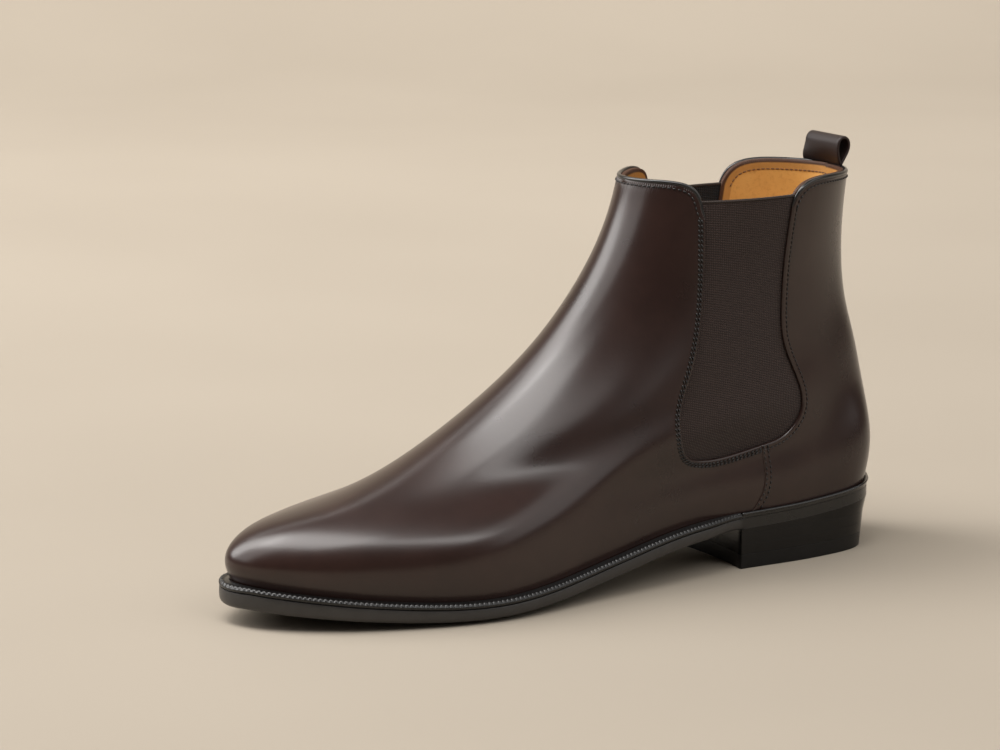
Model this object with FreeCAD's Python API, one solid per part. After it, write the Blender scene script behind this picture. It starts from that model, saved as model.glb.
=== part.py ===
import FreeCAD, Part
import math
import os

# Chelsea boot for the wearer's left foot, size EU 42, in millimetres.
# The toe points along -Y, the heel along +Y, the lateral side is +X and the ground is Z = 0.

V = FreeCAD.Vector

# ---- driving dimensions ------------------------------------------------------------------------

LEATHER = 1.5            # thickness of the upper leather
INTERLAYER = 1.0         # elastic, stiffeners and backing cloth between upper and lining
LINING = 0.9             # thickness of the lining leather
GAP = 0.15               # room left between two layers that are glued together

WELT_THICKNESS = 2.4
WELT_WIDTH = 4.5         # how far welt and sole stand out around the forepart
SEAT_WIDTH = 1.5         # how far the sole stands out around the heel
OUTSOLE_THICKNESS = 4.6
BREAST_Y = 71.5          # front face of the heel
WAIST_Y = 50.0           # where the welt starts to narrow towards the heel
HEEL_TAPER = 3.0         # how much the heel draws in from top to ground at the back
TAPER_FROM_Y = 105.0     # the heel's sides are upright ahead of this
HEEL_SEAT_Z = 40.0       # height at which the heel's outline meets the seat's
TOP_PIECE_HEIGHT = 6.0   # rubber piece that meets the ground
LIFT_HEIGHT = 4.4        # one leather lift of the heel

FRONT_TOP_Z = 165.0      # top line over the instep
REAR_TOP_Z = 163.0       # top line beside the heel
BACK_TOP_Z = 162.0       # top line at the back seam
GUSSET_TOP_Z = 156.0     # top edge of the outer elastic
MEDIAL_GUSSET_TOP_Z = 152.5
BINDING_HEIGHT = 1.6     # bead along the top line
GUSSET_ALLOWANCE = 7.0   # hidden elastic that is sewn between upper and lining
MEDIAL_SHIFT = 9.0       # how much further back the inner gusset stands at its top

HINGE_Y = 39.5           # front lower corner of both gussets, where the shaft front bends
HINGE_Z = 57.5
CREASE_FROM = 136.0      # directions from the hinge, in degrees, that bound the instep crease
CREASE_TO = 151.0

TAB_WIDTH = 23.0
TAB_FROM_X = -14.0       # the tab sits a little towards the medial side
TAB_THICKNESS = 1.3
TAB_HEIGHT = 12.5        # loop above the top line
TAB_DEPTH = 7.0          # loop from front to back
TAB_HOLE_LIFT = 3.5      # lowest point of the hole above the foot of the loop
TAB_NECK = 3.0           # height over which both ends of the strap lie together
TAB_SEWN_LENGTH = 22.0
TAB_LEAN = 4.0           # degrees that the loop leans back
TAB_FORWARD_OF = 110.0   # the slot for the tab is cut behind this y
TEARDROP_PEAK = 0.77     # greatest value of sin(t) * sin(t / 2)
TEARDROP_POINTS = 20

INSOLE_THICKNESS = 2.4
SOCK_THICKNESS = 0.8
RIB_WIDTH = 2.0
SHANK_LENGTH = 110.0
SHANK_WIDTH = 14.0
SHANK_THICKNESS = 1.2
SHANK_FROM_Y = -10.0

HEEL_INSET = 0.5         # step from the seat rand in to the heel
BREAST_RADIUS = 160.0    # hollow of the heel's front face
BREAST_HOLLOW = 3.0
CROWN_WIDTH = 50.0       # half width over which the outsole bulges down
CROWN_END = 10.0         # the bulge ends this far ahead of the heel
CROWN_FADE = 70.0        # and grows to its full height over this length
NAIL_COUNT = 5
NAIL_INSET = 9.0
NAIL_RADIUS = 0.9
NAIL_LOW = 8.0
NAIL_SUNK = 0.5          # nail heads lie this far below the top of the outsole
PIN_COUNT = 7
PIN_INSET = 4.5
PIN_RADIUS = 0.7
PIN_LOW = 0.2
PIN_TOP = 9.5

SLIVER = 1.0             # smaller solids left by a cut are dropped, in cubic millimetres
FAR = 300.0              # beyond every face of the boot
PLAN_LOW = -30.0         # upright prisms reach from here
PLAN_HIGH = 60.0         # to here

# ---- the last: a closed outline that changes from the sole to the top line ---------------------

# Stations from the sole (0) to the top (1): front centre (y, z) and back centre (y, z).
STATIONS = [
    (0.00, (-147.0, 17.0), (150.0, 30.0)),
    (0.08, (-149.0, 26.0), (152.0, 42.0)),
    (0.17, (-138.5, 37.0), (152.0, 54.0)),
    (0.30, (-106.0, 48.0), (150.5, 71.0)),
    (0.45, (-62.0, 63.8), (146.0, 90.0)),
    (0.60, (-18.0, 90.0), (141.0, 108.0)),
    (0.75, (13.0, 121.0), (139.0, 128.0)),
    (0.88, (29.0, 149.0), (139.5, 149.0)),
    (1.00, (37.0, 178.0), (142.0, 172.0)),
]

# Half width of the sole outline at nine points from toe to heel, on each side of the centre line.
LATERAL_OUTLINE = [-6.0, 13.0, 32.5, 45.0, 38.0, 31.5, 32.0, 27.0, 0.0]
MEDIAL_OUTLINE = [6.0, 22.0, 37.5, 43.0, 29.0, 27.5, 31.0, 26.5, 0.0]
OUTLINE_SCALE = [1.0, 1.03, 0.99]

# Higher up: lateral and medial half width, and how pointed the section is in front and behind.
SECTIONS = [
    (37.0, 34.0, 1.0, 0.56),
    (35.0, 33.0, 1.0, 0.62),
    (33.5, 32.0, 1.0, 0.72),
    (33.5, 31.5, 1.0, 0.85),
    (36.0, 31.5, 1.0, 0.95),
    (38.0, 31.5, 1.0, 0.98),
]

# Dip of the sole line below the straight line from toe to heel, as (y, dip).
SOLE_DIP = [(-147, 0), (-100, -7.8), (-55, -12.0), (-10, -9.3), (40, -3.1), (80, -2.5), (110, -2.5), (150, 0)]

# Inner edge of the upper and lining turned in below the foot, in plan, from the toe round the lateral side.
MARGIN_EDGE = [
    (-8, -132), (7, -126), (20, -104), (31, -58), (25, 0), (18.5, 55), (18.5, 105), (12, 130),
    (0, 136.5), (-12, 130), (-18, 105), (-14.5, 55), (-16, 0), (-30, -58), (-25, -104), (-20, -124),
]

AROUND = 16              # columns of the outline
POINTS_AROUND = 32       # points of one loop of the solid
OUTLINE_POINTS = 64      # points of the sole outline in plan
PROFILE_POINTS = 24      # spans of a line that follows the sole in side view
PROFILE_OVERHANG = 15.0  # how far such a line runs past toe and heel
BODY_FLOOR = -15.0       # flat ends of the solids that the layers are cut from
BODY_TOP = 200.0
LEVELS = [0.0, 0.04, 0.08, 0.125, 0.17, 0.235, 0.30, 0.375, 0.45, 0.525, 0.60, 0.68, 0.76, 0.84, 0.92, 1.0]


def natural_spline(xs, ys):
    """Natural cubic spline through the points, as a function."""
    count = len(xs)
    steps = [xs[i + 1] - xs[i] for i in range(count - 1)]
    lower = [0.0] * count
    middle = [1.0] * count
    upper = [0.0] * count
    right = [0.0] * count
    for i in range(1, count - 1):
        lower[i] = steps[i - 1]
        middle[i] = 2 * (steps[i - 1] + steps[i])
        upper[i] = steps[i]
        right[i] = 6 * ((ys[i + 1] - ys[i]) / steps[i] - (ys[i] - ys[i - 1]) / steps[i - 1])
    for i in range(1, count):
        weight = lower[i] / middle[i - 1]
        middle[i] -= weight * upper[i - 1]
        right[i] -= weight * right[i - 1]
    moments = [0.0] * count
    for i in range(count - 2, 0, -1):
        moments[i] = (right[i] - upper[i] * moments[i + 1]) / middle[i]

    def value(x):
        i = 0
        while i < count - 2 and x > xs[i + 1]:
            i += 1
        step = steps[i]
        after = x - xs[i]
        before = xs[i + 1] - x
        bend = (moments[i] * before ** 3 + moments[i + 1] * after ** 3) / (6 * step)
        left_line = (ys[i] / step - moments[i] * step / 6) * before
        right_line = (ys[i + 1] / step - moments[i + 1] * step / 6) * after
        return bend + left_line + right_line

    return value


def closed_spline(values):
    """Smooth periodic curve through equally spaced values, as a function of the index."""
    count = len(values)

    def value(t):
        t = t % count
        i = int(t)
        u = t - i
        p0, p1, p2, p3 = [values[(i + k - 1) % count] for k in range(4)]
        return p1 + 0.5 * u * (p2 - p0 + u * (2 * p0 - 5 * p1 + 4 * p2 - p3 + u * (3 * (p1 - p2) + p3 - p0)))

    return value


levels = [row[0] for row in STATIONS]
front_y = natural_spline(levels, [row[1][0] for row in STATIONS])
front_z = natural_spline(levels, [row[1][1] for row in STATIONS])
back_y = natural_spline(levels, [row[2][0] for row in STATIONS])
back_z = natural_spline(levels, [row[2][1] for row in STATIONS])
sole_dip = natural_spline([p[0] for p in SOLE_DIP], [p[1] for p in SOLE_DIP])
TOE_Y = STATIONS[0][1][0]
SEAT_Y = STATIONS[0][2][0]


def half_width(column, station):
    """Signed x of one column at one station; column 0 is the toe, half way round is the heel."""
    if station < len(OUTLINE_SCALE):
        if column <= AROUND // 2:
            return LATERAL_OUTLINE[column] * OUTLINE_SCALE[station]
        return -MEDIAL_OUTLINE[AROUND - column] * OUTLINE_SCALE[station]
    lateral, medial, front_power, back_power = SECTIONS[station - len(OUTLINE_SCALE)]
    angle = column * 2 * math.pi / AROUND
    side = math.sin(angle)
    if abs(side) < 1e-9:
        return 0.0
    width = lateral if side > 0 else medial
    power = front_power if math.cos(angle) > 0 else back_power
    return math.copysign(width * abs(side) ** power, side)


columns = []
for column in range(AROUND):
    columns.append(natural_spline(levels, [half_width(column, i) for i in range(len(STATIONS))]))


def dip(y):
    return sole_dip(max(TOE_Y, min(SEAT_Y, y)))


def surface(angle, level):
    """Point on the outside of the upper: angle 0 is the toe, pi the back seam."""
    across = closed_spline([column(level) for column in columns])
    back = (1 - math.cos(angle)) / 2
    x = across(angle / (2 * math.pi) * AROUND)
    y = front_y(level) * (1 - back) + back_y(level) * back
    z = front_z(level) * (1 - back) + back_z(level) * back
    return V(x, y, z + dip(y) * (1 - level) ** 3)


def inset(angle, level, depth):
    """Point of the surface moved inwards along its normal."""
    step = 1e-3
    around = surface(angle + step, level) - surface(angle - step, level)
    up = surface(angle, min(level + step, 1)) - surface(angle, max(level - step, 0))
    normal = around.cross(up)
    normal.normalize()
    return surface(angle, level) - normal * depth


def feather(y):
    """Height of the line where the upper meets the welt."""
    (y0, z0), (y1, z1) = STATIONS[0][1], STATIONS[0][2]
    return z0 + (z1 - z0) * (y - y0) / (y1 - y0) + dip(y)


# ---- building blocks ---------------------------------------------------------------------------

def spline_edge(points, closed=False):
    curve = Part.BSplineCurve()
    curve.interpolate(points, PeriodicFlag=closed)
    return curve.toShape()


def fitted_curve(points, parameters, closed):
    curve = Part.BSplineCurve()
    curve.interpolate(Points=points, Parameters=parameters, PeriodicFlag=closed)
    return curve


def tube_face(rings, pattern, knots, multiplicities, degree):
    """Face through rows of poles that all close around the boot like the pattern curve."""
    surface_patch = Part.BSplineSurface()
    poles = [list(row) for row in zip(*rings)]
    around = (pattern.getMultiplicities(), pattern.getKnots())
    surface_patch.buildFromPolesMultsKnots(
        poles, around[0], multiplicities, around[1], knots, True, False, 3, degree)
    return surface_patch.toShape()


def flat_cap(face, height):
    """Plane face on the edge of a tube that lies at one height."""
    for edge in face.Edges:
        box = edge.BoundBox
        if abs(box.ZMin - height) < 1e-3 and abs(box.ZMax - height) < 1e-3:
            return Part.Face(Part.Wire([edge]))


def body(depth):
    """Solid inside the surface moved inwards by depth, upright below the feather line."""
    risers = []
    for i in range(POINTS_AROUND):
        angle = math.pi + 2 * math.pi * i / POINTS_AROUND
        risers.append(fitted_curve([inset(angle, level, depth) for level in LEVELS], LEVELS, False))
    indices = [float(i) for i in range(POINTS_AROUND + 1)]
    loops = []
    for j in range(risers[0].NbPoles):
        loops.append(fitted_curve([riser.getPole(j + 1) for riser in risers], indices, True))
    rings = [loop.getPoles() for loop in loops]
    floor_height = BODY_FLOOR - depth
    top_height = BODY_TOP + depth
    floor = [V(p.x, p.y, floor_height) for p in rings[0]]
    top = [V(p.x, p.y, top_height) for p in rings[-1]]
    main = tube_face(rings, loops[0], risers[0].getKnots(), risers[0].getMultiplicities(), 3)
    lower = tube_face([floor, rings[0]], loops[0], [0.0, 1.0], [2, 2], 1)
    upper = tube_face([rings[-1], top], loops[0], [0.0, 1.0], [2, 2], 1)
    faces = [main, lower, upper, flat_cap(lower, floor_height), flat_cap(upper, top_height)]
    shell = Part.makeCompound(faces)
    shell.sewShape()
    return Part.Solid(shell)


def profile_slab(low, high):
    """Everything between two lines that follow the feather line in side view."""
    first = TOE_Y - PROFILE_OVERHANG
    step = (SEAT_Y + PROFILE_OVERHANG - first) / PROFILE_POINTS
    ys = [first + step * i for i in range(PROFILE_POINTS + 1)]
    lower = spline_edge([V(-FAR, y, feather(y) + low) for y in ys])
    upper = spline_edge([V(-FAR, y, feather(y) + high) for y in ys])
    ends = []
    for y in (ys[0], ys[-1]):
        ends.append(Part.makeLine(V(-FAR, y, feather(y) + low), V(-FAR, y, feather(y) + high)))
    face = Part.Face(Part.Wire([lower, ends[1], upper, ends[0]]))
    return face.extrude(V(2 * FAR, 0, 0))


def plan_points(offset):
    """Outline of the feather line in plan, moved outwards; offset is a length or a function of y."""
    points = []
    for i in range(OUTLINE_POINTS):
        angle = math.pi + 2 * math.pi * i / OUTLINE_POINTS
        point = surface(angle, 0)
        along = surface(angle + 1e-3, 0) - surface(angle - 1e-3, 0)
        outward = V(along.y, -along.x, 0)
        outward.normalize()
        distance = offset(point.y) if callable(offset) else offset
        points.append(V(point.x + outward.x * distance, point.y + outward.y * distance, 0))
    return points


def plan_prism(offset):
    """Upright prism on the outline of the feather line moved outwards by offset."""
    points = [V(p.x, p.y, PLAN_LOW) for p in plan_points(offset)]
    face = Part.Face(Part.Wire([spline_edge(points, True)]))
    return face.extrude(V(0, 0, PLAN_HIGH - PLAN_LOW))


def margin_prism(inwards=0.0):
    """Upright prism inside the inner edge of the lasting margin, or a little further in."""
    points = []
    count = len(MARGIN_EDGE)
    for i in range(count):
        before = MARGIN_EDGE[i - 1]
        after = MARGIN_EDGE[(i + 1) % count]
        length = math.hypot(after[0] - before[0], after[1] - before[1])
        x = MARGIN_EDGE[i][0] - (after[1] - before[1]) / length * inwards
        y = MARGIN_EDGE[i][1] + (after[0] - before[0]) / length * inwards
        points.append(V(x, y, PLAN_LOW))
    face = Part.Face(Part.Wire([spline_edge(points, True)]))
    return face.extrude(V(0, 0, PLAN_HIGH - PLAN_LOW))


def side_prism(edges, side=0):
    """Prism across the boot on a closed side view outline: side 1 lateral, -1 medial, 0 both."""
    face = Part.Face(Part.Wire(edges))
    if side == 0:
        face.translate(V(-FAR, 0, 0))
        return face.extrude(V(2 * FAR, 0, 0))
    return face.extrude(V(side * FAR, 0, 0))


def side_points(pairs):
    return [V(0, y, z) for y, z in pairs]


def side_polygon(pairs, side=0):
    points = side_points(pairs)
    return side_prism([Part.makePolygon(points + [points[0]])], side)


def moved_outline(pairs, distance):
    """Open side view outline moved to its left by distance."""
    moved = []
    for i in range(len(pairs)):
        before = pairs[max(i - 1, 0)]
        after = pairs[min(i + 1, len(pairs) - 1)]
        dy = after[0] - before[0]
        dz = after[1] - before[1]
        length = math.hypot(dy, dz)
        moved.append((pairs[i][0] - dz / length * distance, pairs[i][1] + dy / length * distance))
    return moved


def capped_prism(pairs, corners, side):
    """Side prism bounded by a spline through pairs and by straight runs through corners."""
    points = side_points(pairs)
    closing = Part.makePolygon([points[-1]] + side_points(corners) + [points[0]])
    return side_prism([spline_edge(points)] + closing.Edges, side)


def layer(outer_depth, inner_depth, outer_floor, inner_floor):
    """One layer of the upper with its lasting margin turned in below the foot."""
    outer = body(outer_depth).common(profile_slab(outer_floor, FAR))
    inner = body(inner_depth).common(profile_slab(inner_floor, FAR))
    return outer.cut(inner).cut(margin_prism().common(profile_slab(-FAR, inner_floor + 1)))


def shapes_of(shape):
    """Solids of a boolean result without slivers."""
    return [solid for solid in shape.Solids if solid.Volume > SLIVER]


def moved_copy(shape, vector):
    copy = shape.copy()
    copy.translate(vector)
    return copy


parts = {}


def keep(name, shape):
    solids = shapes_of(shape)
    parts[name] = solids[0] if len(solids) == 1 else Part.makeCompound(solids)


# ---- side view outlines ------------------------------------------------------------------------

def lean(pairs, side):
    """Shift an outline backwards on the medial side, more towards its top."""
    if side > 0:
        return list(pairs)
    height = GUSSET_TOP_Z - HINGE_Z
    return [(y + MEDIAL_SHIFT * max(0.0, (z - HINGE_Z) / height), z) for y, z in pairs]


# Gusset from its top front corner, down, along the bottom and up to its top rear corner.
GUSSET = [
    (53.5, 160.0), (52.8, 136.0), (51.5, 115.0), (44.5, 87.0), (37.6, 64.0), (42.0, 52.5), (54.0, 48.6),
    (68.0, 49.2), (82.0, 51.5), (95.0, 55.5), (102.3, 65.0), (98.5, 82.0), (92.5, 97.0), (91.5, 115.0),
    (92.0, 138.0), (93.8, 160.0),
]

# Top line of the shaft front, from ahead of the boot and over into the gusset.
FRONT_TOP = [
    (0.0, FRONT_TOP_Z), (20.0, FRONT_TOP_Z), (35.0, FRONT_TOP_Z), (44.0, 164.6), (49.5, 162.2), (52.0, 158.0),
    (53.0, 153.0), (56.0, 146.0),
]

# Top line of the back, from inside the gusset to behind the boot.
REAR_TOP = [
    (88.0, 144.0), (91.5, 150.5), (94.5, 157.0), (99.5, 161.2), (107.0, REAR_TOP_Z), (120.0, REAR_TOP_Z),
    (145.0, BACK_TOP_Z), (170.0, BACK_TOP_Z),
]

# Seam between vamp and quarter, from inside the gusset down to the heel breast.
QUARTER_SEAM = [(81.0, 62.0), (82.3, 50.0), (83.2, 42.0), (82.0, 32.0), (77.0, 24.0), (72.0, 19.0)]

# Rear edge of the toe puff and top edge of the heel counter.
TOE_PUFF_EDGE = [(-92.0, -FAR), (-92.0, 20.0), (-108.0, 60.0), (-108.0, FAR)]
COUNTER_EDGE = [(60.0, 14.0), (84.0, 24.0), (100.0, 44.0), (125.0, 60.0), (150.0, 66.0), (200.0, 68.0)]

HINGE = (HINGE_Y, HINGE_Z)


def ray(degrees, length=FAR):
    angle = math.radians(degrees)
    return (HINGE_Y + length * math.cos(angle), HINGE_Z + length * math.sin(angle))


def gusset_hole(side, grow=0.0):
    """The opening that the elastic fills, or the elastic with its hidden seam allowance."""
    pairs = moved_outline(lean(GUSSET, side), -grow)
    return capped_prism(pairs, [(pairs[-1][0], FAR), (pairs[0][0], FAR)], side)


def everything_below(pairs):
    """Corners that close a top line around all that lies below it."""
    return [(FAR, pairs[-1][1]), (FAR, -FAR), (-FAR, -FAR), (-FAR, pairs[0][1])]


def below_front_top(side, drop=0.0):
    pairs = moved_outline(lean(FRONT_TOP, side), -drop)
    return capped_prism(pairs, everything_below(pairs), side)


def below_rear_top(side, drop=0.0):
    pairs = moved_outline(lean(REAR_TOP, side), -drop)
    return capped_prism(pairs, everything_below(pairs), side)


def both_sides(make, *arguments):
    """Join what a function makes for the lateral and for the medial side."""
    return make(1, *arguments).fuse(make(-1, *arguments))


# ---- regions of the upper ----------------------------------------------------------------------

MIDDLE_TOP = (73.0, FAR)      # a point above the middle of both gussets
shaft_front_region = side_polygon([HINGE, (73.0, 100.0), MIDDLE_TOP, (-FAR, FAR), ray(CREASE_FROM)])
crease_region = side_polygon([HINGE, ray(CREASE_FROM), ray(CREASE_TO)])
below_seam = (QUARTER_SEAM[-1][0], -FAR)
quarter_region = capped_prism(QUARTER_SEAM, [below_seam, (FAR, -FAR), (FAR, FAR), MIDDLE_TOP], 0)
vamp_corners = [below_seam, (-FAR, -FAR), ray(CREASE_TO), HINGE]
vamp_region = capped_prism(QUARTER_SEAM, vamp_corners, 0)

gusset_holes = both_sides(gusset_hole)
gusset_panels = both_sides(gusset_hole, GUSSET_ALLOWANCE)
gusset_clearance = both_sides(gusset_hole, GUSSET_ALLOWANCE + GAP)
front_cut = both_sides(below_front_top, BINDING_HEIGHT + GAP)
rear_cut = both_sides(below_rear_top, BINDING_HEIGHT + GAP)

# ---- layers of the upper -----------------------------------------------------------------------

inter_depth = LEATHER + GAP
lining_depth = inter_depth + INTERLAYER + GAP
inside_depth = lining_depth + LINING
leather_floor = -WELT_THICKNESS + GAP
inter_floor = leather_floor + LEATHER + GAP
lining_floor = inter_floor + INTERLAYER + GAP
inside_floor = lining_floor + LINING

leather = layer(0.0, LEATHER, leather_floor, leather_floor + LEATHER)
interlayer = layer(inter_depth, inter_depth + INTERLAYER, inter_floor, inter_floor + INTERLAYER)
lining = layer(lining_depth, inside_depth, lining_floor, inside_floor)

lateral_half = Part.makeBox(FAR, 2 * FAR, 2 * FAR, V(GAP / 2, -FAR, -FAR))
medial_half = Part.makeBox(FAR, 2 * FAR, 2 * FAR, V(-FAR - GAP / 2, -FAR, -FAR))

leather_panels = leather.cut(gusset_holes)
keep("vamp", leather_panels.common(vamp_region))
keep("vamp_instep_crease", leather_panels.common(crease_region))
keep("shaft_front", leather_panels.common(shaft_front_region).common(front_cut))
quarters = leather_panels.common(quarter_region).common(rear_cut)
keep("quarter_lateral", quarters.common(lateral_half))
keep("quarter_medial", quarters.common(medial_half))

lining_panels = lining.cut(gusset_holes)
keep("vamp_lining", lining_panels.common(vamp_region))
keep("instep_lining_crease", lining_panels.common(crease_region))
keep("shaft_front_lining", lining_panels.common(shaft_front_region).common(front_cut))
keep("quarter_lining", lining_panels.common(quarter_region).common(rear_cut))

for name, side, top in (("lateral", 1, GUSSET_TOP_Z), ("medial", -1, MEDIAL_GUSSET_TOP_Z)):
    below_top = Part.makeBox(2 * FAR, 2 * FAR, FAR, V(-FAR, -FAR, top - FAR))
    keep("gusset_" + name, interlayer.common(gusset_hole(side, GUSSET_ALLOWANCE)).common(below_top))

sewn_low = BACK_TOP_Z - TAB_SEWN_LENGTH
tab_slot = Part.makeBox(TAB_WIDTH, FAR, TAB_SEWN_LENGTH, V(TAB_FROM_X, TAB_FORWARD_OF, sewn_low))
room_corner = V(TAB_FROM_X - GAP, TAB_FORWARD_OF, sewn_low - GAP)
tab_room = Part.makeBox(TAB_WIDTH + 2 * GAP, FAR, FAR, room_corner)
keep("pull_tab_sewn_ends", interlayer.common(tab_slot))

backing = interlayer.cut(gusset_clearance)
front_backing = backing.common(vamp_region)
toe_region = side_polygon(TOE_PUFF_EDGE + [(-FAR, FAR), (-FAR, -FAR)])
keep("toe_puff", front_backing.common(toe_region))
keep("vamp_backing_cloth", front_backing.cut(moved_copy(toe_region, V(0, GAP, 0))))
keep("shaft_front_backing_cloth", backing.common(shaft_front_region).common(front_cut))
rear_backing = backing.common(quarter_region).common(rear_cut)
counter_region = capped_prism(COUNTER_EDGE, [(FAR, -FAR), (0.0, -FAR)], 0)
keep("heel_counter", rear_backing.common(counter_region))
above_counter = rear_backing.cut(moved_copy(counter_region, V(0, 0, GAP))).cut(tab_room)
keep("quarter_backing_cloth", above_counter)

wall = body(0.0).cut(body(inside_depth)).cut(gusset_holes)
middle_of_wall = body(inter_depth - GAP).cut(body(lining_depth))
gusset_room = gusset_clearance.common(middle_of_wall)
front_bead = both_sides(below_front_top).cut(both_sides(below_front_top, BINDING_HEIGHT))
rear_bead = both_sides(below_rear_top).cut(both_sides(below_rear_top, BINDING_HEIGHT))
keep("shaft_front_top_binding", wall.common(shaft_front_region).common(front_bead).cut(gusset_room))
tab_slit = middle_of_wall.common(tab_room)
foot_corner = V(TAB_FROM_X - GAP, TAB_FORWARD_OF, BACK_TOP_Z)
tab_foot_room = Part.makeBox(TAB_WIDTH + 2 * GAP, FAR, FAR, foot_corner)
rear_binding = wall.common(quarter_region).common(rear_bead).cut(gusset_room)
keep("quarter_top_binding", rear_binding.cut(tab_slit).cut(tab_foot_room))

# ---- pull tab ----------------------------------------------------------------------------------

tab_root = inset(math.pi, 0.95, inter_depth + INTERLAYER / 2)
TAB_AXIS = (tab_root.y, BACK_TOP_Z + GAP + TAB_THICKNESS / 2)


def teardrop(height, width, lift):
    """Closed drop outline that stands on its point, leaning back from the tab's axis."""
    points = []
    for i in range(TEARDROP_POINTS):
        turn = 2 * math.pi * i / TEARDROP_POINTS
        up = lift + height / 2 * (1 - math.cos(turn))
        across = width / 2 * math.sin(turn) * math.sin(turn / 2) / TEARDROP_PEAK
        lean_angle = math.radians(TAB_LEAN)
        y = TAB_AXIS[0] + up * math.sin(lean_angle) + across * math.cos(lean_angle)
        z = TAB_AXIS[1] + up * math.cos(lean_angle) - across * math.sin(lean_angle)
        points.append(V(TAB_FROM_X, y, z))
    edge = spline_edge(points + [points[0]])
    return Part.Face(Part.Wire([edge])).extrude(V(TAB_WIDTH, 0, 0))


def pull_tab():
    outside = teardrop(TAB_HEIGHT, TAB_DEPTH, 0.0)
    hole_height = TAB_HEIGHT - TAB_HOLE_LIFT - TAB_THICKNESS
    inside = teardrop(hole_height, TAB_DEPTH - 2 * TAB_THICKNESS, TAB_HOLE_LIFT)
    root = Part.makeCylinder(TAB_THICKNESS / 2, TAB_WIDTH, V(TAB_FROM_X, *TAB_AXIS), V(1, 0, 0))
    neck = Part.makeBox(TAB_WIDTH, TAB_THICKNESS, TAB_NECK, V(TAB_FROM_X, -TAB_THICKNESS / 2, 0))
    neck.rotate(V(0, 0, 0), V(1, 0, 0), -TAB_LEAN)
    neck.translate(V(0, *TAB_AXIS))
    return outside.fuse([root, neck]).cut(inside)


keep("pull_tab", pull_tab())

# ---- insole, filler and shank ------------------------------------------------------------------

insole_low = inside_floor + GAP
insole_high = insole_low + INSOLE_THICKNESS
insole_inset = inside_depth + 0.5
keep("insole", plan_prism(-insole_inset).common(profile_slab(insole_low, insole_high)))
sock_low = insole_high + GAP
sock = plan_prism(-insole_inset - 0.4).common(profile_slab(sock_low, sock_low + SOCK_THICKNESS))
keep("sock_liner", sock)

rib = margin_prism(GAP).cut(margin_prism(GAP + RIB_WIDTH))
keep("insole_rib", rib.common(profile_slab(leather_floor, insole_low)))

shank_plan = Part.makeBox(SHANK_WIDTH, SHANK_LENGTH, FAR, V(-SHANK_WIDTH / 2, SHANK_FROM_Y, -FAR / 2))
shank_room = Part.makeBox(SHANK_WIDTH + 2 * GAP, SHANK_LENGTH + 2 * GAP, FAR,
                          V(-SHANK_WIDTH / 2 - GAP, SHANK_FROM_Y - GAP, -FAR / 2))
shank_high = insole_low - 2 * GAP
shank_low = shank_high - SHANK_THICKNESS
keep("shank", shank_plan.common(profile_slab(shank_low, shank_high)))
filler = margin_prism(RIB_WIDTH + 2 * GAP).common(profile_slab(leather_floor, insole_low - GAP))
filler = filler.cut(shank_room.common(profile_slab(shank_low - GAP, shank_high + GAP)))
keep("cork_filler", filler)

# ---- welt, sole and heel -----------------------------------------------------------------------

ahead_of_heel = Part.makeBox(2 * FAR, 2 * FAR, 2 * FAR, V(-FAR, BREAST_Y - 2 * FAR, -FAR))
behind_breast = Part.makeBox(2 * FAR, 2 * FAR, 2 * FAR, V(-FAR, BREAST_Y, -FAR))


def narrowed(y, seat_width):
    """Width of welt or sole around the forepart, narrowing to seat_width at the heel."""
    t = max(0.0, min(1.0, (y - WAIST_Y) / (BREAST_Y - WAIST_Y)))
    return WELT_WIDTH + (seat_width - WELT_WIDTH) * t * t * (3 - 2 * t)


def welt_edge(y):
    return narrowed(y, SEAT_WIDTH)


def sole_edge(y):
    return narrowed(y, SEAT_WIDTH - HEEL_INSET)


edge_ring = plan_prism(welt_edge).cut(plan_prism(GAP)).common(profile_slab(-WELT_THICKNESS, 0.0))
keep("welt", edge_ring.common(ahead_of_heel))
keep("heel_seat_rand", edge_ring.common(moved_copy(behind_breast, V(0, GAP, 0))))

sole_high = -WELT_THICKNESS - GAP
sole_low = sole_high - OUTSOLE_THICKNESS
crown = min(feather(y) for y in range(int(TOE_Y), int(WAIST_Y))) + sole_low


def crowned_underside():
    """Solid below the outsole, which bulges down along its middle under the ball of the foot."""
    grid = []
    for i in range(-6, 7):
        x = CROWN_WIDTH * i / 5
        row = []
        for j in range(20):
            y = TOE_Y - 23 + 18 * j
            fade = max(0.0, min(1.0, (BREAST_Y - CROWN_END - y) / CROWN_FADE))
            bulge = crown * fade * fade * (3 - 2 * fade) * (1 - (x / CROWN_WIDTH) ** 2)
            row.append(V(x, y, feather(y) + sole_low - bulge))
        grid.append(row)
    patch = Part.BSplineSurface()
    patch.interpolate(grid)
    return patch.toShape().extrude(V(0, 0, -FAR))


outsole = plan_prism(sole_edge).common(profile_slab(-FAR, sole_high)).cut(crowned_underside())
HEEL_EDGE = SEAT_WIDTH - HEEL_INSET


def heel_edge_at_ground(y):
    t = max(0.0, min(1.0, (y - TAPER_FROM_Y) / (SEAT_Y - TAPER_FROM_Y)))
    return HEEL_EDGE - HEEL_TAPER * t * t * (3 - 2 * t)


def heel_block():
    """Heel from the ground to above the sole, with a hollowed front face."""
    ground = Part.Wire([spline_edge(plan_points(heel_edge_at_ground), True)])
    seat = Part.Wire([spline_edge(plan_points(HEEL_EDGE), True)])
    seat.translate(V(0, 0, HEEL_SEAT_Z))
    block = Part.makeLoft([ground, seat], True, True).common(behind_breast)
    hollow_centre = V(0, BREAST_Y - BREAST_RADIUS + BREAST_HOLLOW, PLAN_LOW)
    hollow = Part.makeCylinder(BREAST_RADIUS, PLAN_HIGH - PLAN_LOW, hollow_centre)
    return block.cut(hollow).common(profile_slab(-FAR, sole_low - GAP))


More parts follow.
